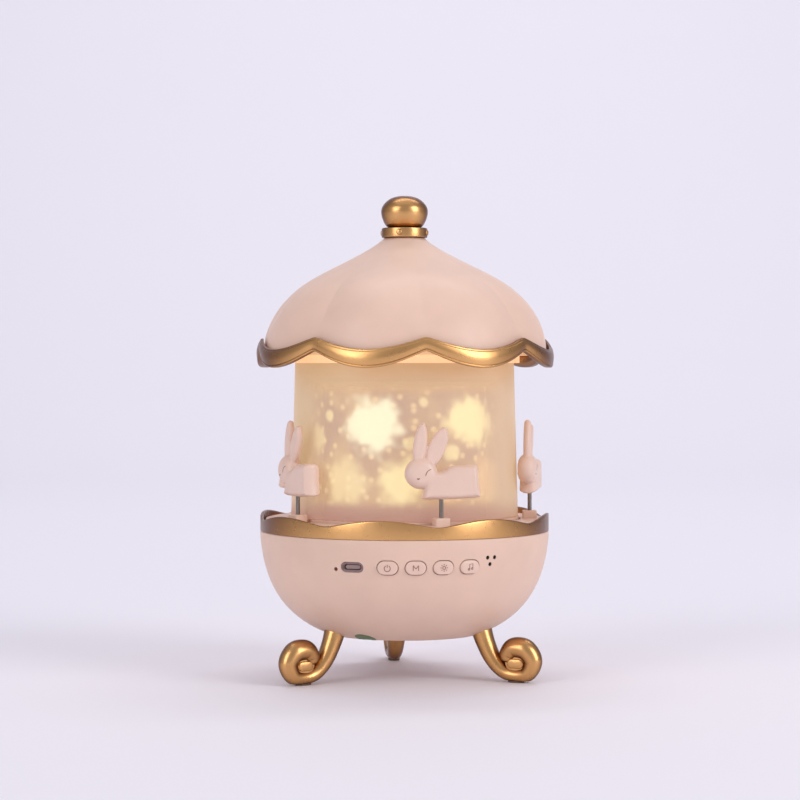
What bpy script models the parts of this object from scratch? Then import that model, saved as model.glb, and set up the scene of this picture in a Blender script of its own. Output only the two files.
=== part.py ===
"""Carousel music box: a lamp-lit drum under a scalloped canopy, five rabbits riding round it, a speaker
and control panel in the bowl below, and three scroll feet.

World frame: origin under the middle of the box on the surface it stands on, +Z up, front towards -Y.
Angles round the box are in degrees from the front, positive towards +X.
Sizes in the tables below are in millimetres and are turned into metres by MM.
"""

import math

import bmesh
import bpy
from mathutils import Matrix, Vector

MM = 0.001
GAP = 0.3  # clearance between solids that touch

# Overall
HEIGHT = 209.5
CANOPY_R = 65.6
BOWL_R = 62.9
WALL = 2.2

# Heights of the main levels
BOWL_BOTTOM_Z = 19.1
BOWL_TOP_Z = 63.7
LEDGE_Z = 59.7
DECK_TOP_Z = 62.0
GEAR_Z = 64.3
GEAR_HEIGHT = 3.0
RING_Z = 67.6
RING_TOP_Z = 69.1
SHADE_Z = 70.5
SHADE_TOP_Z = 137.3
CAP_TOP_Z = 139.6

# Bowl rim and canopy scallops
LOBES = 8
RIM_TROUGH_Z = 68.9
RIM_CREST_Z = 71.7
RIM_TURN = 7.7  # angle of one trough of the rim
CANOPY_TURN = 3.0  # angle of one cusp of the canopy
CUSP_TOP_Z, CUSP_BOTTOM_Z = 147.2, 141.5
LOBE_TOP_Z, LOBE_BOTTOM_Z = 142.3, 134.6

# Outside curves as (radius, z) control points
BOWL_CURVE = [(BOWL_R, 61.5), (61.2, 41.3), (53.5, 26.5), (33.2, BOWL_BOTTOM_Z)]
CANOPY_UPPER = [(9.0, 190.8), (13.0, 186.7), (25.6, 180.7), (33.1, 177.1)]
CANOPY_LOWER = [(33.1, 177.1), (43.8, 171.9), (61.9, 162.9), (62.2, 140.0)]
SHELL_EDGE_R = 62.2
FLUTE = 0.026  # how far the dome is drawn in at the cusps, as a share of its radius
FLUTE_TOP_Z, FLUTE_FADE = 187.0, 45.0

# Bottom cover
COVER_Z, COVER_TOP_Z, COVER_R = 19.2, 20.7, 32.9
COVER_SCREW_ANGLES = (60.0, 180.0, 300.0)
COVER_SCREW_R = 30.0
SCREW_HOLE_R = 1.5
SLOT_PITCH, SLOT_HALF_WIDTH, GRILLE_R = 5.0, 0.9, 15.0

# Gear train: one pinion between the ring's inner teeth and the film drum's outer teeth
MODULE = 1.5
RING_TEETH = 72
PINION_TEETH = 8
DRUM_TEETH = RING_TEETH - 2 * PINION_TEETH
PINION_ANGLE = 180.0
PINION_R = MODULE * (RING_TEETH - PINION_TEETH) / 2

# Rabbits
RABBITS = 5
RABBIT_TURN = 10.9
RABBIT_R = 54.6
RABBIT_Z = 79.8  # underside of a rabbit
RABBIT_HALF_THICKNESS = 3.7
RABBIT_HEADING = -8.0  # turn about its rod that brings a rabbit's nose nearer the axis
ROD_R = 0.9
SOCKET_TOP_Z = 72.4
SOCKET_HALF = 3.1
EARS = ((-8.9, 22.6, 9.4, 8.0), (-1.75, 21.7, 8.7, 22.0))  # middle x and z, half length, lean of each ear
EAR_HALF_WIDTH, EAR_HALF_THICKNESS = 2.9, 1.5

# Feet
FOOT_ANGLES = {"left": -60.0, "right": 60.0, "rear": 180.0}
FOOT_SCROLL_R = 52.4  # distance of the scroll's eye from the axis
FOOT_EYE_Z = 8.6
FOOT_LEG = ((35.0, 30.0, 4.7), (37.5, 16.0, 4.1), (42.0, 5.2, 3.3), (50.5, 3.4, 2.9))  # distance, z, half thickness
# The scroll round its eye: angle from outwards, distance of the centreline, half thickness
SCROLL = (
    (-95, 5.3, 2.9),
    (-40, 7.1, 3.5),
    (5, 8.0, 3.95),
    (50, 7.5, 4.25),
    (95, 6.3, 4.25),
    (135, 4.9, 3.9),
    (165, 4.3, 3.3),
)
EYE_R, EYE_W, EYE_H, EYE_HALF_DEPTH = 53.1, 7.4, 4.0, 3.0
PAD_R = 52.6
PAD_HALF_W = 3.6
PAD_THICKNESS = 0.8

# Control panel on the front of the bowl
PANEL_Z = 52.4
BUTTONS = {"power": -11.8, "mode": -1.0, "light": 9.8, "music": 20.6}
BUTTON_W, BUTTON_H = 8.9, 6.2
BUTTON_TRAVEL = 0.6
PORT_ANGLE = -25.9
PORT_W, PORT_H = 10.0, 4.4
LAMP_HOLE_ANGLE = -32.8
MIC_HOLES = ((28.4, 55.9), (31.7, 55.9), (29.8, 53.1))
SWITCH_R = 55.2  # outer face of the switch bodies
SWITCH_HALF, SWITCH_DEPTH = 3.0, 2.6
PLUNGER = 0.6  # how far a switch's plunger stands out of its body

# Electronics inside the bowl, as low and high corners
MAIN_BOARD = ((-24, -26, 36.3), (24, 20, 37.9))
BATTERY = ((-15, -16, 38.2), (15, 8, 45.5))
GEARBOX = ((-7.0, 30.0, 51.0), (7.0, 54.0, LEDGE_Z - 0.4))
MOTOR_R, MOTOR_Z, MOTOR_Y = 7.8, 33.0, 38.5
BOARD_POSTS = ((-18.0, -20.0), (18.0, -20.0), (-18.0, 12.0), (18.0, 12.0))
POST_R, POST_Z = 2.5, 38.2

# Lamp, drum and speaker
FILM_R = 42.2
FILM_WALL = 0.8
SHADE_BOTTOM_R, SHADE_TOP_R, SHADE_WALL = 49.5, 47.7, 1.6
COLUMN_R = 7.5

PINK = (0.80, 0.60, 0.53, 1)
GOLD = (0.62, 0.38, 0.16, 1)
WHITE = (0.85, 0.83, 0.80, 1)
STEEL = (0.55, 0.53, 0.52, 1)
DARK = (0.05, 0.05, 0.05, 1)
FROSTED = (0.90, 0.80, 0.68, 1)
PRINTED = (0.85, 0.68, 0.48, 1)
GREEN = (0.05, 0.25, 0.12, 1)


def clear_scene():
    for thing in list(bpy.data.objects):
        bpy.data.objects.remove(thing, do_unlink=True)


def material(name, colour, roughness, metallic=0.0):
    made = bpy.data.materials.get(name) or bpy.data.materials.new(name)
    made.use_nodes = True
    surface = made.node_tree.nodes["Principled BSDF"]
    surface.inputs["Base Color"].default_value = colour
    surface.inputs["Roughness"].default_value = roughness
    surface.inputs["Metallic"].default_value = metallic
    return made


MATERIALS = {
    "pink": ("pink shell", PINK, 0.45, 0.0),
    "gold": ("gold trim", GOLD, 0.3, 1.0),
    "white": ("white plastic", WHITE, 0.5, 0.0),
    "steel": ("steel", STEEL, 0.25, 1.0),
    "dark": ("dark rubber", DARK, 0.7, 0.0),
    "frosted": ("frosted shade", FROSTED, 0.6, 0.0),
    "printed": ("printed film", PRINTED, 0.6, 0.0),
    "board": ("circuit board", GREEN, 0.5, 0.0),
}


def new_object(name, work, kind, parent=None):
    """Turns a bmesh in millimetres, in world axes, into an object whose origin is its parent's."""
    bmesh.ops.recalc_face_normals(work, faces=work.faces)
    base = Vector((0, 0, 0)) if parent is None else parent.location
    for vert in work.verts:
        vert.co = vert.co * MM - base
    mesh = bpy.data.meshes.new(name)
    work.to_mesh(mesh)
    work.free()
    mesh.shade_smooth()
    mesh.set_sharp_from_angle(angle=math.radians(35))
    made = bpy.data.objects.new(name, mesh)
    bpy.context.collection.objects.link(made)
    mesh.materials.append(material(*MATERIALS[kind]))
    made.parent = parent
    return made


def joint_empty(name, location=(0, 0, 0)):
    made = bpy.data.objects.new(name, None)
    made.location = Vector(location) * MM
    bpy.context.collection.objects.link(made)
    return made


def around(radius, degrees, z=0.0):
    """Point at that radius and angle from the front."""
    angle = math.radians(degrees)
    return Vector((radius * math.sin(angle), -radius * math.cos(angle), z))


def outward(degrees, z=0.0, radius=0.0):
    """Frame at that angle: +X along the surface, +Y inwards to the axis, +Z up."""
    return Matrix.Translation(around(radius, degrees, z)) @ Matrix.Rotation(math.radians(degrees), 4, "Z")


def upright(degrees, radius, z):
    """Frame in the upright plane at that angle: +X away from the axis, +Y up, +Z along the surface."""
    axes = Matrix((around(1.0, degrees), (0, 0, 1), around(1.0, degrees + 90.0))).transposed()
    return Matrix.Translation(around(radius, degrees, z)) @ axes.to_4x4()


def ring_body(section_at, segments, start=0.0):
    """Closed ring swept round Z from the start angle. section_at(degrees) gives the loop of (radius, z) there."""
    work = bmesh.new()
    loops = []
    for step in range(segments):
        degrees = start + 360.0 * step / segments
        loops.append([work.verts.new(around(r, degrees, z)) for r, z in section_at(degrees)])
    for step, loop in enumerate(loops):
        following = loops[(step + 1) % segments]
        for i in range(len(loop)):
            j = (i + 1) % len(loop)
            work.faces.new((loop[i], loop[j], following[j], following[i]))
    return work


def ring(profile, segments=40):
    return ring_body(lambda degrees: profile, segments)


def solid_of_revolution(profile, segments=32):
    """Body turned round Z. The first and last points of the profile are on the axis."""
    work = bmesh.new()
    top, bottom = (work.verts.new((0, 0, profile[i][1])) for i in (0, -1))
    loops = []
    for r, z in profile[1:-1]:
        loops.append([work.verts.new(around(r, 360.0 * s / segments, z)) for s in range(segments)])
    for s in range(segments):
        t = (s + 1) % segments
        work.faces.new((top, loops[0][s], loops[0][t]))
        work.faces.new((bottom, loops[-1][t], loops[-1][s]))
        for upper, lower in zip(loops, loops[1:]):
            work.faces.new((upper[s], lower[s], lower[t], upper[t]))
    return work


def disc(radius, low, high, segments=24):
    return solid_of_revolution([(0, high), (radius, high), (radius, low), (0, low)], segments)


def moved(work, matrix):
    bmesh.ops.transform(work, matrix=matrix, verts=work.verts)
    return work


def block(low, high):
    work = bmesh.new()
    size = Vector(high) - Vector(low)
    centre = (Vector(high) + Vector(low)) / 2
    bmesh.ops.create_cube(work, size=1.0, matrix=Matrix.Translation(centre) @ Matrix.Diagonal((*size, 1)))
    return work


def prism(outline, low, high):
    """Outline of (x, y) points raised from low to high along Z."""
    work = bmesh.new()
    lower = [work.verts.new((x, y, low)) for x, y in outline]
    upper = [work.verts.new((x, y, high)) for x, y in outline]
    work.faces.new(lower)
    work.faces.new(upper)
    for i in range(len(outline)):
        j = (i + 1) % len(outline)
        work.faces.new((lower[i], lower[j], upper[j], upper[i]))
    return work


def pill(width, height, steps=6):
    """Outline of a rounded slot, wider than high."""
    radius = height / 2
    points = []
    for side in (1, -1):
        for k in range(steps + 1):
            angle = math.pi * k / steps - math.pi / 2
            points.append((side * (width / 2 - radius + radius * math.cos(angle)), side * radius * math.sin(angle)))
    return points


def rectangle(half_width, half_height):
    w, h = half_width, half_height
    return [(-w, -h), (w, -h), (w, h), (-w, h)]


def facing_prism(outline, degrees, z, inner, outer):
    """Outline standing on the bowl's side: x along the surface, y up, running from radius inner to outer."""
    work = prism(outline, inner, outer)
    stand_up = Matrix(((1, 0, 0, 0), (0, 0, -1, 0), (0, 1, 0, 0), (0, 0, 0, 1)))
    moved(work, stand_up)
    return moved(work, outward(degrees, z))


def merge(works):
    """Several closed bodies in one bmesh, for a cutter or a union."""
    whole = bmesh.new()
    for work in works:
        mesh = bpy.data.meshes.new("scrap")
        bmesh.ops.recalc_face_normals(work, faces=work.faces)
        work.to_mesh(mesh)
        work.free()
        whole.from_mesh(mesh)
        bpy.data.meshes.remove(mesh)
    return whole


def boolean(target, name, works, operation="DIFFERENCE"):
    """Cuts the bodies from the target, or joins them to it, as a modifier with a hidden helper."""
    helper = new_object(name, merge(works), "dark", target.parent)
    helper.hide_render = True
    helper.display_type = "WIRE"
    modifier = target.modifiers.new(name, "BOOLEAN")
    modifier.operation = operation
    modifier.solver = "EXACT"
    modifier.object = helper
    return target


def bezier(points, steps):
    """Points along a cubic curve through its four control points."""
    a, b, c, d = (Vector(p) for p in points)
    curve = []
    for k in range(steps + 1):
        t = k / steps
        curve.append(a * (1 - t) ** 3 + b * 3 * t * (1 - t) ** 2 + c * 3 * t * t * (1 - t) + d * t**3)
    return [tuple(p) for p in curve]


def scallop(degrees, turn):
    """0 at a cusp of the lobed edge and 1 at the middle of a lobe."""
    return abs(math.sin(math.radians((degrees - turn) * LOBES / 2)))


# ---------------------------------------------------------------- bowl


def bowl_outer_radius(z):
    """Radius of the bowl's outside at that height, read from its curve."""
    curve = bezier(BOWL_CURVE, 60)
    if z >= curve[0][1]:
        return BOWL_R
    for (r0, z0), (r1, z1) in zip(curve, curve[1:]):
        if z1 <= z <= z0:
            return r0 + (r1 - r0) * (z - z0) / (z1 - z0)
    return curve[-1][0]


def inner_curve(steps):
    """The bowl's outside curve moved inwards by the wall."""
    curve = bezier(BOWL_CURVE, steps)
    inside = []
    for k, (r, z) in enumerate(curve):
        r0, z0 = curve[max(k - 1, 0)]
        r1, z1 = curve[min(k + 1, steps)]
        length = math.hypot(r1 - r0, z1 - z0)
        inside.append((r + WALL * (z1 - z0) / length, z - WALL * (r1 - r0) / length))
    return inside


def make_bowl():
    inner = inner_curve(7)
    ledge_r = inner[0][0] - 2.4
    profile = [(BOWL_R, BOWL_TOP_Z), *bezier(BOWL_CURVE, 8)]
    profile += [(COVER_R + GAP, COVER_TOP_Z + GAP), (27.0, COVER_TOP_Z + GAP), (27.0, 23.0)]
    profile += [p for p in reversed(inner) if 24.0 < p[1] < 56.0]
    profile += [(ledge_r, 57.4), (ledge_r, LEDGE_Z), (BOWL_R - WALL, LEDGE_Z), (BOWL_R - WALL, BOWL_TOP_Z)]
    bowl = new_object("bowl_shell", ring(profile, 48), "pink")
    holes = [facing_prism(pill(PORT_W, PORT_H), PORT_ANGLE, PANEL_Z, 56, 70)]
    for degrees in BUTTONS.values():
        outline = pill(BUTTON_W + 2 * GAP, BUTTON_H + 2 * GAP)
        holes.append(facing_prism(outline, degrees, PANEL_Z, 56, 70))
    for degrees, z in MIC_HOLES:
        holes.append(facing_prism(pill(1.4, 1.4, 3), degrees, z, 56, 70))
    holes.append(facing_prism(pill(2.2, 2.2, 4), LAMP_HOLE_ANGLE, PANEL_Z - 1.0, 56, 70))
    for degrees in COVER_SCREW_ANGLES:
        holes.append(moved(disc(SCREW_HOLE_R, 18, 26, 10), Matrix.Translation(around(COVER_SCREW_R, degrees))))
    boolean(bowl, "bowl_holes", holes)


def make_rim():
    def section(degrees):
        top = RIM_TROUGH_Z + (RIM_CREST_Z - RIM_TROUGH_Z) * scallop(degrees, RIM_TURN)
        foot = BOWL_TOP_Z + GAP
        tongue_r = BOWL_R - WALL - GAP
        return [
            (BOWL_R, foot),
            (BOWL_R, top),
            (BOWL_R - 1.2, top),
            (BOWL_R - 1.2, foot + 1.2),
            (tongue_r - 0.9, foot + 1.2),
            (tongue_r - 0.9, DECK_TOP_Z + GAP),
            (tongue_r, DECK_TOP_Z + GAP),
            (tongue_r, foot),
        ]

    new_object("bowl_rim", ring_body(section, 6 * LOBES, RIM_TURN), "gold")


def make_bottom_cover():
    cover = new_object("bottom_cover", disc(COVER_R, COVER_Z, COVER_TOP_Z, 32), "pink")
    holes = []
    for x in (SLOT_PITCH * k for k in range(-2, 3)):
        half = math.sqrt(GRILLE_R**2 - x**2)
        holes.append(block((x - SLOT_HALF_WIDTH, -half, 10), (x + SLOT_HALF_WIDTH, half, 30)))
    for degrees in COVER_SCREW_ANGLES:
        holes.append(moved(disc(SCREW_HOLE_R, 10, 30, 10), Matrix.Translation(around(COVER_SCREW_R, degrees))))
    boolean(cover, "cover_holes", holes)
    for number, degrees in enumerate(COVER_SCREW_ANGLES, 1):
        head = COVER_Z - GAP
        profile = [(0, 26.0), (1.2, 26.0), (1.2, head), (2.3, head)]
        profile += [(2.3, head - 0.6), (1.6, head - 1.1), (0, head - 1.1)]
        screw = moved(solid_of_revolution(profile, 12), Matrix.Translation(around(COVER_SCREW_R, degrees)))
        new_object(f"cover_screw_{number}", screw, "steel")


# ---------------------------------------------------------------- feet


def foot_path():
    """Centreline of a foot as (distance from the axis, z, half thickness), from the bowl to the scroll's end."""
    path = bezier(FOOT_LEG, 8)
    for before, after in zip(SCROLL, SCROLL[1:]):
        for share in (0.5, 1.0):
            angle, reach, thick = (a + (b - a) * share for a, b in zip(before, after))
            turn = math.radians(angle)
            path.append((FOOT_SCROLL_R + reach * math.cos(turn), FOOT_EYE_Z + reach * math.sin(turn), thick))
    return path


def tube(path, sides, degrees):
    """Round tube along a path in the upright plane at that angle, closed flat at both ends."""
    work = bmesh.new()
    loops = []
    for k, (r, z, thick) in enumerate(path):
        r0, z0, _ = path[max(k - 1, 0)]
        r1, z1, _ = path[min(k + 1, len(path) - 1)]
        length = math.hypot(r1 - r0, z1 - z0)
        normal_r, normal_z = -(z1 - z0) / length, (r1 - r0) / length
        loop = []
        for side in range(sides):
            turn = 2 * math.pi * side / sides
            across, along = thick * math.cos(turn), thick * math.sin(turn)
            point = around(r + across * normal_r, degrees, z + across * normal_z)
            loop.append(work.verts.new(point + Matrix.Rotation(math.radians(degrees), 3, "Z") @ Vector((along, 0, 0))))
        loops.append(loop)
    for loop, following in zip(loops, loops[1:]):
        for i in range(sides):
            j = (i + 1) % sides
            work.faces.new((loop[i], loop[j], following[j], following[i]))
    work.faces.new(loops[0])
    work.faces.new(loops[-1])
    return work


def bowl_keep_out():
    """Everything above the bowl's outside, which a foot's top end is shaped to."""
    profile = [(0, 80)] + [(BOWL_R + 8, 80), (BOWL_R + 8, 61.5)]
    profile += [(r + GAP, z - GAP) for r, z in bezier(BOWL_CURVE, 24)]
    profile += [(0, BOWL_BOTTOM_Z - GAP)]
    return solid_of_revolution(profile, 48)


def make_feet():
    for name, degrees in FOOT_ANGLES.items():
        foot = new_object(f"foot_{name}", tube(foot_path(), 10, degrees), "gold")
        eye = prism(pill(EYE_W, EYE_H), -EYE_HALF_DEPTH, EYE_HALF_DEPTH)
        moved(eye, upright(degrees, EYE_R, FOOT_EYE_Z - 0.4))
        boolean(foot, f"foot_{name}_eye", [eye], "UNION")
        under = block((-80, -80, -20), (80, 80, PAD_THICKNESS + GAP))
        boolean(foot, f"foot_{name}_trim", [bowl_keep_out(), under])
        pad = moved(disc(PAD_HALF_W, 0, PAD_THICKNESS, 16), Matrix.Translation(around(PAD_R, degrees)))
        new_object(f"foot_pad_{name}", pad, "dark")


# ---------------------------------------------------------------- control panel

def make_buttons():
    flange_r = SWITCH_R + PLUNGER + BUTTON_TRAVEL + 0.1
    for name, degrees in BUTTONS.items():
        empty = joint_empty(f"joint_button_{name}", around(60.0, degrees, PANEL_Z))
        face_r = bowl_outer_radius(PANEL_Z) + 1.0
        cap = facing_prism(pill(BUTTON_W, BUTTON_H), degrees, PANEL_Z, flange_r + 0.4, face_r)
        button = new_object(f"button_{name}", cap, "pink", empty)
        flange = facing_prism(pill(BUTTON_W + 1.8, BUTTON_H + 1.6), degrees, PANEL_Z, flange_r, flange_r + 0.8)
        boolean(button, f"button_{name}_back", [flange], "UNION")
        square = rectangle(SWITCH_HALF, SWITCH_HALF)
        body = facing_prism(square, degrees, PANEL_Z, SWITCH_R - SWITCH_DEPTH, SWITCH_R)
        switch = new_object(f"switch_{name}", body, "dark")
        plunger = facing_prism(pill(2.8, 2.8, 4), degrees, PANEL_Z, SWITCH_R - 1.0, SWITCH_R + PLUNGER)
        boolean(switch, f"switch_{name}_plunger", [plunger], "UNION")


def arc_outline(inner, outer, start, end, steps):
    points = []
    for k in range(steps + 1):
        points.append(around(outer, start + (end - start) * k / steps).xy[:])
    for k in range(steps + 1):
        points.append(around(inner, end + (start - end) * k / steps).xy[:])
    return points


def make_panel_parts():
    back = SWITCH_R - SWITCH_DEPTH - GAP
    board = prism(arc_outline(back - 1.2, back, -18, 27, 9), PANEL_Z - 5.5, PANEL_Z + 4.5)
    new_object("switch_board", board, "board")
    wall_r = bowl_outer_radius(PANEL_Z)
    shell = facing_prism(pill(8.8, 3.2), PORT_ANGLE, PANEL_Z, wall_r - 8.5, wall_r - 1.2)
    socket = new_object("charging_socket", shell, "steel")
    mouth = facing_prism(pill(8.0, 2.5), PORT_ANGLE, PANEL_Z, wall_r - 7.5, wall_r)
    boolean(socket, "charging_socket_mouth", [mouth])
    tongue = facing_prism(rectangle(3.2, 0.35), PORT_ANGLE, PANEL_Z, wall_r - 8, wall_r - 2)
    boolean(socket, "charging_socket_tongue", [tongue], "UNION")
    lens = facing_prism(pill(1.5, 1.5, 4), LAMP_HOLE_ANGLE, PANEL_Z - 1.0, wall_r - 5.0, wall_r - 0.4)
    new_object("indicator_lens", lens, "white")
    degrees, z = MIC_HOLES[2]
    capsule = facing_prism(pill(4.6, 4.6, 5), degrees, z + 0.6, 54.0, 56.6)
    new_object("microphone", capsule, "steel")


# ---------------------------------------------------------------- gears and deck


def gear_outline(teeth, pitch_share, addendum, dedendum, turn):
    """Outline of a straight-sided gear. A tooth is centred on turn, an angle from the front."""
    pitch_r = MODULE * teeth / 2
    step = 360.0 / teeth
    root_half, tip_half = step * pitch_share * 0.32, step * pitch_share * 0.14
    points = []
    for k in range(teeth):
        centre = turn + k * step
        for offset, radius in (
            (-root_half, pitch_r - dedendum),
            (-tip_half, pitch_r + addendum),
            (tip_half, pitch_r + addendum),
            (root_half, pitch_r - dedendum),
        ):
            points.append(around(radius, centre + offset).xy[:])
    return points


def make_deck():
    guide_in, guide_out = 56.4, 57.6
    boss_in, boss_out = 47.4, 49.8
    low = LEDGE_Z + GAP
    profile = [
        (60.0, low),
        (60.0, DECK_TOP_Z),
        (guide_out, DECK_TOP_Z),
        (guide_out, GEAR_Z - 2 * GAP),
        (guide_in, GEAR_Z - 2 * GAP),
        (guide_in, DECK_TOP_Z),
        (boss_out, DECK_TOP_Z),
        (boss_out, SHADE_Z - GAP),
        (boss_in, SHADE_Z - GAP),
        (boss_in, DECK_TOP_Z),
        (4.0, DECK_TOP_Z),
        (4.0, low),
    ]
    deck = new_object("deck", ring(profile, 40), "pink")
    posts = [moved(disc(POST_R, POST_Z, LEDGE_Z + 1.3, 10), Matrix.Translation((x, y, 0))) for x, y in BOARD_POSTS]
    boolean(deck, "deck_posts", posts, "UNION")
    window = block((-9.0, 46.5, DECK_TOP_Z + GAP), (9.0, 51.0, RING_Z + 0.2))
    shaft_hole = moved(disc(2.0, 55, 66, 12), Matrix.Translation(around(PINION_R, PINION_ANGLE)))
    boolean(deck, "deck_window", [window])
    boolean(deck, "deck_shaft_hole", [shaft_hole])


def make_drive():
    centre = around(PINION_R, PINION_ANGLE)
    axis = joint_empty("joint_drive_pinion", centre)
    outline = gear_outline(PINION_TEETH, 0.86, 1.3, 1.6, 0.0)
    gear = moved(prism(outline, GEAR_Z, GEAR_Z + GEAR_HEIGHT), Matrix.Translation(centre))
    pinion = new_object("drive_pinion", gear, "white", axis)
    shaft = moved(disc(1.5, 57.0, GEAR_Z + 1.0, 12), Matrix.Translation(centre))
    boolean(pinion, "drive_pinion_shaft", [shaft], "UNION")
    box = new_object("gearbox", block(*GEARBOX), "white")
    bearing = moved(disc(1.8, 56.4, 62, 12), Matrix.Translation(centre))
    boolean(box, "gearbox_bearing", [bearing])
    motor = moved(disc(MOTOR_R, MOTOR_Z, GEARBOX[0][2] - GAP, 20), Matrix.Translation((0, MOTOR_Y, 0)))
    new_object("motor", motor, "steel")


def make_carousel():
    axis = joint_empty("joint_carousel")
    profile = [
        (60.6, RING_TOP_Z),
        (60.6, RING_Z),
        (58.4, RING_Z),
        (58.4, GEAR_Z - GAP),
        (52.0, GEAR_Z - GAP),
        (52.0, RING_Z),
        (50.6, RING_Z),
        (50.6, RING_TOP_Z),
    ]
    carousel = new_object("carousel_ring", ring(profile, 40), "pink", axis)
    teeth = gear_outline(RING_TEETH, 1.15, 1.8, 1.3, PINION_ANGLE)
    boolean(carousel, "carousel_teeth", [prism(teeth, GEAR_Z - 2, RING_Z - 0.001)])
    places = [outward(RABBIT_TURN + 360.0 / RABBITS * k, 0, RABBIT_R) for k in range(RABBITS)]
    low, high = (-SOCKET_HALF, -SOCKET_HALF, RING_TOP_Z - 0.7), (SOCKET_HALF, SOCKET_HALF, SOCKET_TOP_Z)
    boolean(carousel, "carousel_sockets", [moved(block(low, high), place) for place in places], "UNION")
    holes = [moved(disc(ROD_R + GAP, RING_Z + 0.6, RABBIT_Z, 8), place) for place in places]
    boolean(carousel, "carousel_rod_holes", holes)
    for number, place in enumerate(places, 1):
        make_rabbit(number, place, axis)


def ellipsoid(centre, radii, tilt=0.0, segments=12, rings=8):
    work = bmesh.new()
    bmesh.ops.create_uvsphere(work, u_segments=segments, v_segments=rings, radius=1.0)
    shape = Matrix.Rotation(math.radians(tilt), 4, "Y") @ Matrix.Diagonal((*radii, 1))
    return moved(work, Matrix.Translation(centre) @ shape)


def rabbit_outline():
    """Side view of the lying rabbit without its ears, nose towards -X, from the chin round to the chest."""
    head = []
    for degrees in range(238, 10, -28):
        angle = math.radians(degrees)
        head.append((-8.6 + 6.9 * math.cos(angle), 10.8 + 6.5 * math.sin(angle)))
    back = [(0.9, 11.8), (3.6, 13.7), (13.8, 14.4), (15.1, 13.2), (15.6, 6.0), (16.1, 1.8), (15.0, 0.8)]
    belly = [(5.0, 0.1), (-7.4, 0.0), (-8.4, 0.8), (-7.7, 3.8)]
    return head + back + belly


def make_rabbit(number, place, axis):
    work = bmesh.new()
    outline = rabbit_outline()
    half = RABBIT_HALF_THICKNESS
    centre_x = sum(p[0] for p in outline) / len(outline)
    centre_z = sum(p[1] for p in outline) / len(outline)
    loops = []
    for y, share in ((-half, 0.82), (-half * 0.6, 0.97), (half * 0.6, 0.97), (half, 0.82)):
        loop = []
        for x, z in outline:
            loop.append(work.verts.new((centre_x + (x - centre_x) * share, y, centre_z + (z - centre_z) * share)))
        loops.append(loop)
    for loop, following in zip(loops, loops[1:]):
        for i in range(len(loop)):
            j = (i + 1) % len(loop)
            work.faces.new((loop[i], loop[j], following[j], following[i]))
    work.faces.new(loops[0])
    work.faces.new(loops[-1])
    stand = place @ Matrix.Translation((0, 0, RABBIT_Z)) @ Matrix.Rotation(math.radians(RABBIT_HEADING), 4, "Z")
    rabbit = new_object(f"rabbit_{number}", moved(work, stand), "pink", axis)
    ears = []
    for x, z, half_length, lean in EARS:
        shape = (EAR_HALF_WIDTH, EAR_HALF_THICKNESS, half_length)
        ears.append(moved(ellipsoid((x, 0, z), shape, lean, 10, 6), stand))
    boolean(rabbit, f"rabbit_{number}_ears", ears, "UNION")
    hole = moved(disc(ROD_R + GAP, RABBIT_Z - 4, RABBIT_Z + 8.5, 8), place)
    boolean(rabbit, f"rabbit_{number}_rod_hole", [hole])
    rod = moved(disc(ROD_R, RING_Z + 0.8, RABBIT_Z + 8.2, 8), place)
    new_object(f"rod_{number}", rod, "steel", axis)


# ---------------------------------------------------------------- lamp, drum and shade


def make_lamp():
    flange_top = GEAR_Z - 2 * GAP
    profile = [
        (COLUMN_R, 92.0),
        (COLUMN_R, flange_top),
        (11.5, flange_top),
        (11.5, DECK_TOP_Z + GAP),
        (5.5, DECK_TOP_Z + GAP),
        (5.5, 92.0),
    ]
    new_object("lamp_column", ring(profile, 24), "white")
    new_object("led_board", disc(10.5, 92.3, 93.9, 24), "board")
    dome = [(8.6 * math.sin(math.radians(a)), 94.2 + 8.6 * math.cos(math.radians(a))) for a in (0, 20, 45, 70, 90)]
    new_object("led_lens", solid_of_revolution(dome + [(0, 94.2)], 20), "white")


def make_film_drum():
    axis = joint_empty("joint_film_drum")
    turn = PINION_ANGLE + 180.0 / DRUM_TEETH
    gear = prism(gear_outline(DRUM_TEETH, 0.86, 1.3, 1.6, turn), GEAR_Z, GEAR_Z + GEAR_HEIGHT)
    base = new_object("drum_gear", gear, "white", axis)
    boolean(base, "drum_gear_bore", [disc(COLUMN_R + 0.6, GEAR_Z - 5, GEAR_Z + 10, 24)])
    film_low = GEAR_Z + GEAR_HEIGHT + GAP
    film_top = 131.0
    wall = [(FILM_R, film_top), (FILM_R, film_low), (FILM_R - FILM_WALL, film_low), (FILM_R - FILM_WALL, film_top)]
    new_object("projector_film", ring(wall, 36), "printed", axis)
    cap_low, cap_top = film_top + GAP, film_top + GAP + 1.8
    cap = [(FILM_R, cap_top), (FILM_R, cap_low), (2.6, cap_low), (2.6, cap_top)]
    new_object("drum_cap", ring(cap, 32), "white", axis)


def make_shade():
    profile = [
        (SHADE_TOP_R, SHADE_TOP_Z),
        (SHADE_BOTTOM_R, SHADE_Z),
        (SHADE_BOTTOM_R - SHADE_WALL, SHADE_Z),
        (SHADE_TOP_R - SHADE_WALL, SHADE_TOP_Z),
    ]
    new_object("shade", ring(profile, 40), "frosted")
    low = SHADE_TOP_Z + GAP
    spigot = SHADE_TOP_R - SHADE_WALL - 2 * GAP
    profile = [
        (0, CAP_TOP_Z),
        (48.3, CAP_TOP_Z),
        (48.3, low),
        (spigot, low),
        (spigot, low - 3.2),
        (spigot - 1.0, low - 3.2),
        (spigot - 1.0, low),
        (1.9, low),
        (1.9, 130.4),
        (0, 130.4),
    ]
    new_object("shade_cap", solid_of_revolution(profile, 32), "white")


# ---------------------------------------------------------------- electronics and speaker


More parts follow.
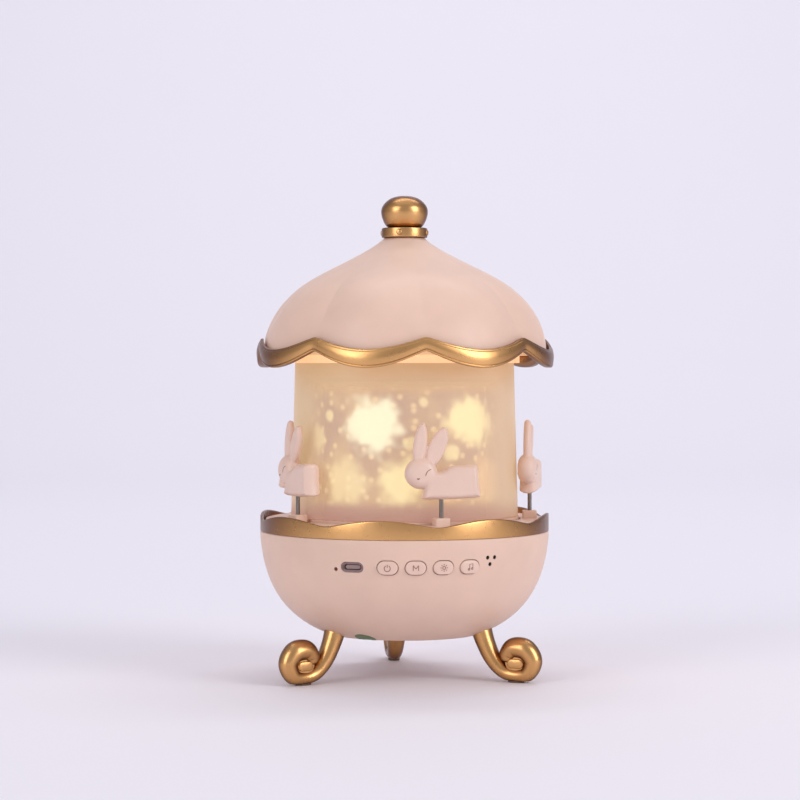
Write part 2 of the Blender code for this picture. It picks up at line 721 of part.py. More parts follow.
def make_electronics():
    board = new_object("main_board", block(*MAIN_BOARD), "board")
    boolean(board, "main_board_notch", [block((-4, 16, 30), (4, 30, 40))])
    new_object("battery", block(*BATTERY), "steel")
    frame = [(19.5, 21.0), (19.5, 22.4), (13.0, 27.5), (9.5, 27.5)]
    frame += [(9.5, 26.4), (12.2, 26.4), (17.4, 22.2), (17.4, 21.0)]
    new_object("speaker_frame", ring(frame, 20), "dark")
    cone = [(0, 24.6), (4.0, 24.6), (9.0, 25.6), (16.8, 22.0)]
    cone += [(16.8, 21.4), (9.0, 24.8), (4.0, 23.8), (0, 23.8)]
    new_object("speaker_cone", solid_of_revolution(cone, 20), "dark")
    new_object("speaker_magnet", disc(11.5, 27.8, 35.0, 24), "steel")


# ---------------------------------------------------------------- canopy


def canopy_shape(radius, z, degrees, edge_z):
    """A point of the dome: fluted into lobes that fade towards the top, and ending at edge_z."""
    fade = min(1.0, max(0.0, (FLUTE_TOP_Z - z) / FLUTE_FADE))
    flute = 1.0 - FLUTE * fade * (1.0 - scallop(degrees, CANOPY_TURN))
    return radius * flute, max(z, edge_z)


def make_canopy():
    axis = joint_empty("joint_canopy_lift")

    def edges(degrees):
        lobe = scallop(degrees, CANOPY_TURN)
        top = CUSP_TOP_Z + (LOBE_TOP_Z - CUSP_TOP_Z) * lobe
        bottom = CUSP_BOTTOM_Z + (LOBE_BOTTOM_Z - CUSP_BOTTOM_Z) * lobe
        outer = CANOPY_R - 1.7 * (1.0 - lobe)
        return top, bottom, outer

    def shell_section(degrees):
        top, _, _ = edges(degrees)
        edge = top - 2.4
        upper = bezier(CANOPY_UPPER, 3)
        lower = bezier(CANOPY_LOWER, 6)
        outside = upper + lower[1:-1] + [(SHELL_EDGE_R, edge)]
        outside = [canopy_shape(r, z, degrees, edge) for r, z in outside]
        inside = [canopy_shape(r - 1.9, z, degrees, edge) for r, z in ((SHELL_EDGE_R, edge), lower[4], lower[3])]
        inside += [canopy_shape(r - 1.0, z - 1.7, degrees, edge) for r, z in (lower[2], lower[0], upper[1])]
        inside += [(4.0, 186.5), (4.0, 190.8)]
        return outside + inside

    new_object("canopy_shell", ring_body(shell_section, 6 * LOBES, CANOPY_TURN), "pink", axis)

    def trim_section(degrees):
        top, bottom, outer = edges(degrees)
        seat = top - 2.4 - GAP
        return [
            (outer - 2.1, top),
            (outer - 1.2, top),
            (outer - 0.3, top - 2.2),
            (outer, (top + bottom) / 2 - 0.6),
            (outer - 0.9, bottom),
            (outer - 2.8, bottom),
            (outer - 4.6, bottom + 1.5),
            (outer - 4.6, seat),
            (outer - 2.1, seat),
        ]

    new_object("canopy_trim", ring_body(trim_section, 6 * LOBES, CANOPY_TURN), "gold", axis)
    seat = CAP_TOP_Z + GAP
    liner = [(57.6, seat + 2.0), (57.6, seat), (50.2, seat), (50.2, 136.6)]
    liner += [(49.0, 136.6), (49.0, seat), (10.0, seat), (10.0, seat + 2.0)]
    new_object("canopy_liner", ring(liner, 32), "white", axis)

    collar = [(9.4, 195.4), (10.0, 194.8), (10.0, 191.7), (9.4, 191.1), (4.0, 191.1), (4.0, 195.4)]
    collar_ring = new_object("finial_collar", ring(collar, 24), "gold", axis)
    studs = []
    for k in range(4):
        studs.append(facing_prism(pill(2.5, 2.5, 4), -18.7 + 90.0 * k, 193.3, 9.0, 10.7))
    boolean(collar_ring, "finial_collar_studs", studs, "UNION")

    ball_r, ball_z = 10.25, 202.9
    knob = [(0, HEIGHT)]
    for degrees in (18, 36, 54, 72, 90):
        turn = math.radians(degrees)
        knob.append((ball_r * math.sin(turn) ** 0.85, ball_z + (HEIGHT - ball_z) * math.cos(turn) ** 0.9))
    knob += [(10.0, 201.2), (9.5, 199.6), (8.7, 198.0), (7.8, 196.5), (6.9, 195.7)]
    knob += [(1.8, 195.7), (1.8, 201.0), (0, 201.0)]
    new_object("finial_knob", solid_of_revolution(knob, 24), "gold", axis)
    screw = [(0, 200.6), (1.4, 200.6), (1.4, 185.2), (5.2, 185.2), (5.2, 183.4), (0, 183.4)]
    new_object("finial_screw", solid_of_revolution(screw, 12), "steel", axis)


def main():
    clear_scene()
    make_bowl()
    make_rim()
    make_bottom_cover()
    make_feet()
    make_buttons()
    make_panel_parts()
    make_deck()
    make_drive()
    make_carousel()
    make_lamp()
    make_film_drum()
    make_shade()
    make_electronics()
    make_canopy()
    bpy.context.view_layer.update()


main()
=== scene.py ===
"""Looks of the carousel music box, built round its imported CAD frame.

Sizes in the tables are in millimetres and are turned into metres by MM. Angles round the box are in
degrees from its front (-Y), positive towards +X, as in the CAD source.
"""

from math import copysign, cos, hypot, pi, radians, sin, sqrt

import bmesh
import bpy
import numpy as np
from mathutils import Matrix, Vector
from mathutils.bvhtree import BVHTree


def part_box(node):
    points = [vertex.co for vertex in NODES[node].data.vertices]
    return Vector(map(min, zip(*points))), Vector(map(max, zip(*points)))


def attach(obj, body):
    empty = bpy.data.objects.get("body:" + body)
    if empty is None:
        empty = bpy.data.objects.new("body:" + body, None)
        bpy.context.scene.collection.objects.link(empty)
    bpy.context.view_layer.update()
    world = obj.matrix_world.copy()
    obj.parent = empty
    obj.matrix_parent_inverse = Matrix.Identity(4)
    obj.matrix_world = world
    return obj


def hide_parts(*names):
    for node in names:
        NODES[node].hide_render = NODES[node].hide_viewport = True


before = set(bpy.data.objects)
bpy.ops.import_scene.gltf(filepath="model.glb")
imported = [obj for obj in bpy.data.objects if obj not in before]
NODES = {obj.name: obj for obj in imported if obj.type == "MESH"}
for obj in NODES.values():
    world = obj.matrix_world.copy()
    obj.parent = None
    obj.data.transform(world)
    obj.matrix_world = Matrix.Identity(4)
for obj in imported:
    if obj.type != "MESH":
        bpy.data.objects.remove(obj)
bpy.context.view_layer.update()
MM = 0.001

# ---- sizes read from the frame


def low_high(node):
    """A node's lowest and highest corners in millimetres."""
    low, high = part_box(node)
    return low / MM, high / MM


BOWL_LOW, BOWL_HIGH = low_high("bowl_shell")
RIM_LOW, RIM_HIGH = low_high("bowl_rim")
TRIM_LOW, TRIM_HIGH = low_high("canopy_trim")
DOME_HIGH = low_high("canopy_shell")[1]
SHADE_LOW, SHADE_HIGH = low_high("shade")
FILM_LOW, FILM_HIGH = low_high("projector_film")
KNOB_LOW, KNOB_HIGH = low_high("finial_knob")
COLLAR_LOW, COLLAR_HIGH = low_high("finial_collar")
RING_LOW, RING_HIGH = low_high("carousel_ring")
RABBIT_LOW = low_high("rabbit_1")[0]
PAD_LOW, PAD_HIGH = low_high("foot_pad_rear")

BOWL_R = RIM_HIGH.x
LOBES = 8
RIM_TURN, CANOPY_TURN = 7.7, 3.0  # angle of one trough of the rim and of one cusp of the canopy
RIM_DIP = 2.8  # depth of the rim's troughs
CANOPY_R = 65.5
CUSP_TOP_Z, CUSP_BOTTOM_Z = TRIM_HIGH.z, 141.5
LOBE_TOP_Z, LOBE_BOTTOM_Z = 142.3, TRIM_LOW.z
RABBITS, RABBIT_TURN, RABBIT_R = 5, 10.9, 54.6
RABBIT_ANGLES = [RABBIT_TURN + 360.0 / RABBITS * k for k in range(RABBITS)]
SOCKET_HEIGHT = 3.3
RABBIT_HEADING = -8.0  # brings a rabbit's nose nearer the axis
SCROLL_R, EYE_Z = 52.4, 8.6  # the scroll's eye on each foot
FOOT_ANGLES = {"left": -60.0, "right": 60.0, "rear": 180.0}
PANEL_Z = sum(corner.z for corner in low_high("button_mode")) / 2
BUTTONS = {"power": -11.8, "mode": -1.0, "light": 9.8, "music": 20.6}
BUTTON_W, BUTTON_H = 8.6, 5.7
BUTTON_GAP = 0.55  # how much larger its opening is
PORT_ANGLE, PORT_W, PORT_H = -25.9, 10.0, 4.4
LAMP_HOLE_ANGLE, LAMP_HOLE = -32.8, 1.7
MIC_HOLES, MIC_HOLE = ((28.4, 55.9), (31.7, 55.9), (29.8, 53.1)), 1.75  # (angle, height) of each, diameter
WALL = 2.2
MODULE, RING_TEETH = 1.5, 72

BOWL_CURVE = [(BOWL_R, 61.5), (61.2, 41.3), (53.5, 26.5), (33.2, BOWL_LOW.z)]
DOME_UPPER = [(9.0, DOME_HIGH.z), (13.0, 186.7), (25.6, 180.7), (33.1, 177.1)]
DOME_LOWER = [(33.1, 177.1), (43.8, 171.9), (61.9, 162.9), (62.2, 140.0)]


# ---- geometry helpers


def around(radius, degrees, z=0.0):
    angle = radians(degrees)
    return Vector((radius * sin(angle), -radius * cos(angle), z))


def outward(degrees, z=0.0, radius=0.0):
    """Frame at that angle: +X along the surface, +Y inwards to the axis, +Z up."""
    return Matrix.Translation(around(radius, degrees, z)) @ Matrix.Rotation(radians(degrees), 4, "Z")


def upright(degrees, radius, z):
    """Frame in the upright plane at that angle: +X away from the axis, +Y up, +Z along the surface."""
    axes = Matrix((around(1.0, degrees), (0, 0, 1), around(1.0, degrees + 90.0))).transposed()
    return Matrix.Translation(around(radius, degrees, z)) @ axes.to_4x4()


def bezier(points, steps):
    a, b, c, d = (Vector(p) for p in points)
    curve = []
    for k in range(steps + 1):
        t = k / steps
        curve.append(a * (1 - t) ** 3 + b * 3 * t * (1 - t) ** 2 + c * 3 * t * t * (1 - t) + d * t**3)
    return [tuple(p) for p in curve]


def smooth_line(points, steps):
    """A smooth line through the points, each a tuple of any length."""
    rows = [np.array(p, float) for p in points]
    rows = [2 * rows[0] - rows[1], *rows, 2 * rows[-1] - rows[-2]]
    line = []
    for a, b, c, d in zip(rows, rows[1:], rows[2:], rows[3:]):
        for k in range(steps):
            t = k / steps
            square = 2 * a - 5 * b + 4 * c - d
            cube = 3 * b - a - 3 * c + d
            line.append(0.5 * (2 * b + (c - a) * t + square * t * t + cube * t**3))
    line.append(rows[-2])
    return line


def rounded(corners, radius, steps):
    """A closed outline with its corners rounded. A corner may give its own radius as a third number."""
    outline = []
    count = len(corners)
    for i, corner in enumerate(corners):
        here = Vector(corner[:2])
        before, after = Vector(corners[i - 1][:2]), Vector(corners[(i + 1) % count][:2])
        size = corner[2] if len(corner) > 2 else radius
        size = min(size, (before - here).length * 0.49, (after - here).length * 0.49)
        if size <= 0:
            outline.append(tuple(here))
            continue
        start = here + (before - here).normalized() * size
        end = here + (after - here).normalized() * size
        for k in range(steps + 1):
            t = k / steps
            outline.append(tuple(start * (1 - t) ** 2 + here * 2 * t * (1 - t) + end * t * t))
    return outline


def loop_faces(work, loops, closed_round, closed_along):
    """Quads between neighbouring loops of vertices."""
    count = len(loops)
    for i in range(count if closed_along else count - 1):
        loop, following = loops[i], loops[(i + 1) % count]
        for a in range(len(loop) if closed_round else len(loop) - 1):
            b = (a + 1) % len(loop)
            work.faces.new((loop[a], loop[b], following[b], following[a]))


def skin(rows, closed_along=False, capped=False):
    """Skins closed rows of points. The last row may join the first, or both may be capped."""
    work = bmesh.new()
    loops = [[work.verts.new(p) for p in row] for row in rows]
    loop_faces(work, loops, True, closed_along)
    if capped:
        work.faces.new(loops[0])
        work.faces.new(loops[-1])
    return work


def swept_ring(section_at, segments, start=0.0):
    rows = []
    for step in range(segments):
        degrees = start + 360.0 * step / segments
        rows.append([around(r, degrees, z) for r, z in section_at(degrees)])
    return skin(rows, closed_along=True)


def turned(profile, segments):
    """Body turned round Z. The first and last points of the profile are on the axis."""
    work = bmesh.new()
    ends = [work.verts.new((0, 0, profile[i][1])) for i in (0, -1)]
    loops = []
    for r, z in profile[1:-1]:
        loops.append([work.verts.new(around(r, 360.0 * s / segments, z)) for s in range(segments)])
    loop_faces(work, loops, True, False)
    for s in range(segments):
        t = (s + 1) % segments
        work.faces.new((ends[0], loops[0][s], loops[0][t]))
        work.faces.new((ends[1], loops[-1][t], loops[-1][s]))
    return work


def prism(outline, low, high):
    work = bmesh.new()
    lower = [work.verts.new((x, y, low)) for x, y in outline]
    upper = [work.verts.new((x, y, high)) for x, y in outline]
    work.faces.new(lower)
    work.faces.new(upper)
    loop_faces(work, [lower, upper], True, False)
    return work


def domed_prism(outline, low, high, edge, steps, crown=0.0):
    """Outline raised from low to high, with its top edge rounded and its top slightly crowned."""
    work = bmesh.new()
    centre = np.mean(outline, axis=0)
    reach = max(hypot(x - centre[0], y - centre[1]) for x, y in outline)
    rows = [(1.0, low)]
    for k in range(steps + 1):
        turn = pi / 2 * k / steps
        rows.append((1 - edge * (1 - cos(turn)) / reach, high - edge * (1 - sin(turn))))
    for share, rise in ((0.72, 0.6), (0.36, 0.92)):
        rows.append(((1 - edge / reach) * share, high + crown * rise))
    loops = []
    for share, z in rows:
        loops.append([work.verts.new((*(centre + (np.array(p) - centre) * share), z)) for p in outline])
    loop_faces(work, loops, True, False)
    middle = work.verts.new((*centre, high + crown))
    for a in range(len(outline)):
        work.faces.new((loops[-1][a], loops[-1][(a + 1) % len(outline)], middle))
    work.faces.new(loops[0])
    return work


def pill(width, height, steps=14):
    radius = height / 2
    points = []
    for side in (1, -1):
        for k in range(steps + 1):
            angle = pi * k / steps - pi / 2
            x = width / 2 - radius + radius * cos(angle)
            points.append((side * x, side * radius * sin(angle)))
    return points


def moved(work, matrix):
    bmesh.ops.transform(work, matrix=matrix, verts=work.verts)
    return work


STAND_UP = Matrix(((1, 0, 0, 0), (0, 0, -1, 0), (0, 1, 0, 0), (0, 0, 0, 1)))
END_ROWS = 5  # rows of faces round a tube's rounded end


def on_side(work, degrees, z):
    """Turns a body built along +Z so that it points out of the box's side at that angle and height."""
    moved(work, STAND_UP)
    return moved(work, outward(degrees, z))


def tube(line, sides, to_world, round_end):
    """Round tube along (x, z, half thickness) points in an upright plane. to_world maps (x, z, depth).

    Its far end bulges by round_end times its half thickness.
    """
    points = [np.array(p) for p in line]
    rows = []

    def add_row(x, z, along, half):
        row = []
        for side in range(sides):
            turn = 2 * pi * side / sides
            across, depth = half * cos(turn), half * sin(turn)
            row.append(to_world(x - along[1] * across, z + along[0] * across, depth))
        rows.append(row)

    for k, (x, z, half) in enumerate(points):
        reach = (points[min(k + 1, len(points) - 1)] - points[max(k - 1, 0)])[:2]
        along = reach / hypot(*reach)
        add_row(x, z, along, half)
    for k in range(1, END_ROWS):
        turn = pi / 2 * k / END_ROWS
        push = sin(turn) * half * round_end
        add_row(x + along[0] * push, z + along[1] * push, along, half * cos(turn))
    return skin(rows, capped=True)


def join(works):
    whole = bmesh.new()
    for work in works:
        scrap = bpy.data.meshes.new("scrap")
        bmesh.ops.recalc_face_normals(work, faces=work.faces)
        work.to_mesh(scrap)
        work.free()
        whole.from_mesh(scrap)
        bpy.data.meshes.remove(scrap)
    return whole


def add(made):
    bpy.context.scene.collection.objects.link(made)
    return made


def add_mesh(name, work):
    """Puts the bmesh in the scene as an object."""
    mesh = bpy.data.meshes.new(name)
    work.to_mesh(mesh)
    work.free()
    return add(bpy.data.objects.new(name, mesh))


SLOT_KINDS = {
    "pink_shell": ("pink", "rabbit", "button", "port", "mark", "label"),
    "gold_trim": ("gold",),
    "steel": ("steel", "socket"),
    "black_plastic": ("hole_shade",),
    "rubber": ("pad",),
    "frosted_shade": ("shade",),
    "printed_film": ("film",),
}
SLOTS = {kind: slot for slot, kinds in SLOT_KINDS.items() for kind in kinds}


def piece(name, work, body, kind, replaces=(), sharp=40.0):
    """Turns a bmesh in millimetres into a piece on its body, in that kind's material."""
    bmesh.ops.recalc_face_normals(work, faces=work.faces)
    bmesh.ops.scale(work, vec=(MM, MM, MM), verts=work.verts)
    made = add_mesh(name, work)
    made.data.shade_smooth()
    made.data.set_sharp_from_angle(angle=radians(sharp))
    made.data.materials.append(MATERIALS[kind])
    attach(made, body)
    if replaces:
        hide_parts(*replaces)
    return made


def cut(target, works):
    """Cuts the bodies out of the target and keeps the result as its mesh."""
    helper = piece("cutter", join(works), "base", "steel")
    modifier = target.modifiers.new("cut", "BOOLEAN")
    modifier.object = helper
    modifier.solver = "EXACT"
    graph = bpy.context.evaluated_depsgraph_get()
    result = bpy.data.meshes.new_from_object(target.evaluated_get(graph), depsgraph=graph)
    target.modifiers.clear()
    target.data = result
    bpy.data.objects.remove(helper, do_unlink=True)
    return target


# ---- materials


class Nodes:
    """Short names for building one material's nodes."""

    def __init__(self, name):
        self.material = bpy.data.materials.new(name)
        self.material.use_nodes = True
        self.tree = self.material.node_tree
        self.surface = self.tree.nodes["Principled BSDF"]
        self.place = self.tree.nodes.new("ShaderNodeTexCoord").outputs["Object"]

    def new(self, kind, sockets=(), **settings):
        """A node with those (socket, value) pairs and those settings."""
        node = self.tree.nodes.new(kind)
        for key, value in settings.items():
            setattr(node, key, value)
        for key, value in sockets:
            node.inputs[key].default_value = value
        return node

    def link(self, source, target):
        self.tree.links.new(source, target)

    def feed(self, name, source):
        """Links the source to the shader's socket of that name."""
        self.link(source, self.surface.inputs[name])

    def set(self, name, value):
        """Sets the shader's own socket of that name."""
        self.surface.inputs[name].default_value = value

    def noise(self, scale, detail=3.0, roughness=0.55, place=None):
        sockets = (("Scale", scale), ("Detail", detail), ("Roughness", roughness))
        node = self.new("ShaderNodeTexNoise", sockets)
        self.link(place or self.place, node.inputs["Vector"])
        return node.outputs["Fac"]

    def spread(self, value, low, high, from_low=0.0, from_high=1.0, kind="LINEAR"):
        limits = (("From Min", from_low), ("From Max", from_high), ("To Min", low), ("To Max", high))
        node = self.new("ShaderNodeMapRange", limits, interpolation_type=kind)
        self.link(value, node.inputs["Value"])
        return node.outputs["Result"]

    def ease(self, *limits):
        """As spread, with soft ends."""
        return self.spread(*limits, "SMOOTHSTEP")

    def maths(self, operation, a, b=0.0):
        node = self.new("ShaderNodeMath", operation=operation)
        for socket, value in zip(node.inputs, (a, b)):
            if isinstance(value, (int, float)):
                socket.default_value = value
            else:
                self.link(value, socket)
        return node.outputs["Value"]

    def mix(self, share, a, b):
        """Colour a where share is 0 and b where it is 1."""
        node = self.new("ShaderNodeMix", data_type="RGBA")
        sockets = {s.identifier: s for s in node.inputs}
        for key, value in (("Factor_Float", share), ("A_Color", a), ("B_Color", b)):
            if isinstance(value, (int, float)):
                sockets[key].default_value = value
            elif isinstance(value, tuple):
                sockets[key].default_value = (*value[:3], 1.0)
            else:
                self.link(value, sockets[key])
        return [s for s in node.outputs if s.identifier == "Result_Color"][0]

    def bump(self, height, strength, distance):
        node = self.new("ShaderNodeBump", (("Strength", strength), ("Distance", distance)))
        self.link(height, node.inputs["Height"])
        self.feed("Normal", node.outputs["Normal"])


def moulded(name, colour, rough, shade, glow=None, soft=0.0):
    """Moulded plastic: a little mottling in the colour, a fine spark-eroded grain, uneven gloss."""
    n = Nodes(name)
    mottle = n.noise(55.0, 2.0)
    dark = tuple(c * shade for c in colour)
    n.feed("Base Color", n.mix(n.spread(mottle, 0.0, 1.0, 0.35, 0.65), colour, dark))
    gloss = n.noise(240.0, 3.0)
    n.feed("Roughness", n.spread(gloss, rough - 0.05, rough + 0.06, 0.3, 0.7))
    n.bump(n.noise(9000.0, 2.0), 0.10, 0.00006)
    if soft:
        n.set("Subsurface Weight", soft)
        n.set("Subsurface Radius", (1.0, 0.45, 0.3))
        n.set("Subsurface Scale", 0.002)
    if glow:
        n.set("Emission Color", (*glow[0], 1))
        n.set("Emission Strength", glow[1])
    return n.material


def gold_paint(name, colour, rough):
    """Satin metallic paint: fine flakes, slow changes in tone, and painted shade where it is seen at a
    slant.
    """
    n = Nodes(name)
    flakes = n.noise(5200.0, 2.0, 0.7)
    tone = n.noise(40.0, 3.0)
    deep = tuple(c * k for c, k in zip(colour, (0.86, 0.80, 0.70)))
    light = tuple(min(1.0, c * 1.2 + 0.02) for c in colour)
    base = n.mix(n.spread(tone, 0.0, 0.4, 0.3, 0.7), colour, deep)
    base = n.mix(n.spread(flakes, 0.0, 0.07, 0.45, 0.75), base, light)
    # Painted shade: the colour turns dark brown towards edges seen at a slant, standing in for dark
    # reflections.
    facing = n.new("ShaderNodeLayerWeight", [("Blend", 0.42)])
    slant = n.ease(facing.outputs["Facing"], 0.0, 0.94, 0.06, 0.66)
    base = n.mix(slant, base, (0.15, 0.048, 0.014))
    n.feed("Base Color", base)
    n.set("Metallic", 1.0)
    n.feed("Roughness", n.spread(n.noise(300.0, 4.0), rough - 0.03, rough + 0.05, 0.3, 0.7))
    n.bump(flakes, 0.008, 0.00003)
    n.set("Coat Weight", 0.08)
    n.set("Coat Roughness", 0.3)
    return n.material


def bright_metal(name, colour, rough):
    n = Nodes(name)
    stretch = n.new("ShaderNodeMapping", [("Scale", (1.0, 1.0, 0.04))])
    n.link(n.place, stretch.inputs["Vector"])
    lines = n.noise(6000.0, 2.0, 0.6, stretch.outputs["Vector"])
    dim = tuple(c * 0.8 for c in colour)
    n.feed("Base Color", n.mix(n.spread(lines, 0.0, 0.7, 0.35, 0.7), colour, dim))
    n.set("Metallic", 1.0)
    n.feed("Roughness", n.spread(lines, rough - 0.05, rough + 0.1, 0.3, 0.7))
    n.bump(lines, 0.05, 0.00004)
    return n.material


def circuit_board(name):
    """Green solder mask with a fine woven glass texture and paler traces."""
    n = Nodes(name)
    traces = n.new("ShaderNodeTexBrick", (("Scale", 260.0), ("Mortar Size", 0.03)), offset=0.37)
    n.link(n.place, traces.inputs["Vector"])
    share = n.maths("MULTIPLY", traces.outputs["Fac"], 0.6)
    n.feed("Base Color", n.mix(share, (0.02, 0.16, 0.07), (0.06, 0.32, 0.14)))
    n.feed("Roughness", n.spread(n.noise(700.0), 0.3, 0.45))
    n.bump(traces.outputs["Fac"], 0.15, 0.00005)
    return n.material


def cylinder_place(n):
    """The angle round Z in degrees from the front, positive towards +X, and the height in millimetres."""
    split = n.new("ShaderNodeSeparateXYZ")
    n.link(n.place, split.inputs["Vector"])
    angle = n.maths("ARCTAN2", split.outputs["X"], n.maths("MULTIPLY", split.outputs["Y"], -1.0))
    return n.maths("MULTIPLY", angle, 180 / pi), n.maths("MULTIPLY", split.outputs["Z"], 1000.0)


# Soft shapes printed on the film: angle, height, half width in degrees, half height in millimetres,
# softness, strength and tone.
LARGE_SHAPES = (
    (-24, 110.6, 15.6, 11.5, 0.3, 1, 0),
    (37, 112, 17, 9.5, 0.34, 0.95, 1),
    (-42, 86.4, 13.6, 9.5, 0.45, 0.6, 1),
    (-8, 86.4, 12.2, 9, 0.4, 0.92, 1),
    (22, 84, 10, 6, 0.55, 0.65, 2),
    (54, 86.6, 13.6, 9.5, 0.45, 0.7, 2),
    (-65, 104.5, 6.5, 5, 0.4, 0.7, 1),
    (-54, 114.5, 3.2, 2.3, 0.4, 0.7, 1),
    (23, 99.1, 5, 3.4, 0.4, 0.7, 1),
    (6, 120, 2.6, 2, 0.4, 0.6, 1),
    (-2, 103, 3, 2.4, 0.4, 0.55, 1),
    (92, 111, 15, 11, 0.32, 0.95, 0),
    (112, 88, 12, 8, 0.45, 0.7, 2),
    (138, 108, 14, 9, 0.4, 0.9, 1),
    (164, 87, 13, 9, 0.45, 0.8, 1),
    (-166, 112, 14, 10, 0.32, 0.95, 1),
    (-142, 88, 13, 8, 0.45, 0.7, 2),
    (-118, 108, 14, 10, 0.32, 0.95, 0),
    (-92, 87, 12, 8, 0.45, 0.7, 1),
)


def printed_film(name):
    """Film lit from behind: soft glowing shapes and dots on a mauve-beige ground, with a band of painted
    lamp light along its top and a band of painted shade along its bottom.
    """
    n = Nodes(name)
    angle, height = cylinder_place(n)
    wobble = n.maths("MULTIPLY", n.maths("SUBTRACT", n.noise(150.0, 1.0), 0.5), 1.1)
    rise = n.ease(height, 0.0, 1.0, 78.0, 104.0)
    ground = n.mix(rise, (0.33, 0.20, 0.11), (0.23, 0.145, 0.125))
    mottle = n.ease(n.noise(60.0, 2.0), 0.0, 1.0, 0.42, 0.64)
    colour = n.mix(mottle, ground, (0.36, 0.245, 0.145))
    flat = n.new("ShaderNodeCombineXYZ")
    n.link(n.maths("MULTIPLY", angle, 0.010), flat.inputs["X"])
    n.link(n.maths("MULTIPLY", height, 0.0135), flat.inputs["Y"])
    dots = n.new("ShaderNodeTexVoronoi", [("Scale", 11.0)], voronoi_dimensions="2D")
    n.link(flat.outputs["Vector"], dots.inputs["Vector"])
    share = n.ease(dots.outputs["Distance"], 0.8, 0.0, 0.08, 0.27)
    colour = n.mix(share, colour, (0.62, 0.47, 0.26))
    tones = ((0.80, 0.83, 0.60), (0.80, 0.71, 0.36), (0.66, 0.42, 0.22))
    for at, z, half_w, half_h, soft, strength, tone in LARGE_SHAPES:
        across = n.maths("DIVIDE", n.maths("SUBTRACT", angle, at), half_w)
        up = n.maths("DIVIDE", n.maths("SUBTRACT", height, z), half_h)
        squares = [n.maths("MULTIPLY", way, way) for way in (across, up)]
        far = n.maths("ADD", n.maths("SQRT", n.maths("ADD", *squares)), wobble)
        share = n.ease(far, strength, 0.0, 0.95 - soft, 1.05 + soft)
        colour = n.mix(share, colour, tones[tone])
    # A warmer band along the top: painted lamp light.
    top = n.ease(height, 0.0, 1.0, 121.0, 128.5)
    colour = n.mix(top, colour, (0.40, 0.25, 0.13))
    # A darker band along the bottom: painted shade.
    bottom = n.ease(height, 1.0, 0.0, 74.5, 79.0)
    colour = n.mix(bottom, colour, (0.22, 0.115, 0.10))
    # The colour glows as painted light from the lamp behind the film; the base colour is kept dark.
    n.feed("Base Color", n.mix(0.75, colour, (0.02, 0.015, 0.01)))
    n.feed("Emission Color", colour)
    n.set("Emission Strength", 1.95)
    n.feed("Roughness", n.spread(n.noise(500.0), 0.45, 0.6))
    return n.material


def frosted(name):
    """Frosted translucent plastic that carries some of the lamp's light, warmer at the top."""
    n = Nodes(name)
    _, height = cylinder_place(n)
    grain = n.noise(2600.0, 2.0)
    warm = n.ease(height, 0.0, 1.0, 120.0, 136.0)
    # Mauve low down: painted light thrown back from the pink deck.
    low = n.ease(height, 1.0, 0.0, 71.0, 80.0)
    light = n.mix(warm, (1.0, 0.70, 0.40), (1.0, 0.60, 0.24))
    light = n.mix(low, light, (0.70, 0.36, 0.27))
    # Brighter yellow patches: painted hot spots of the lamp's light.
    painted_hot_spots = n.ease(n.noise(14.0, 2.0), 0.0, 0.7, 0.45, 0.65)
    light = n.mix(painted_hot_spots, light, (1.0, 0.74, 0.34))
    n.feed("Emission Color", light)
    n.set("Emission Strength", 0.33)
    wall = n.mix(n.spread(grain, 0.0, 0.5), (0.42, 0.31, 0.25), (0.38, 0.28, 0.22))
    n.feed("Base Color", wall)
    n.feed("Roughness", n.spread(grain, 0.42, 0.58))
    n.bump(grain, 0.12, 0.00005)
    slant = n.new("ShaderNodeLayerWeight", [("Blend", 0.5)])
    sides = n.ease(slant.outputs["Facing"], 0.40, 0.80, 0.22, 0.58)
    top = n.ease(height, 0.40, 0.82, 125.0, 131.0)
    n.feed("Alpha", n.maths("MAXIMUM", sides, top))
    return n.material


def plain_dark(name, colour, rough):
    n = Nodes(name)
    worn = tuple(c * 1.7 + 0.01 for c in colour)
    n.feed("Base Color", n.mix(n.spread(n.noise(420.0, 4.0), 0.0, 0.5, 0.4, 0.7), colour, worn))
    n.feed("Roughness", n.spread(n.noise(900.0), rough - 0.06, rough + 0.08, 0.3, 0.7))
    n.bump(n.noise(3500.0), 0.2, 0.00005)
    return n.material


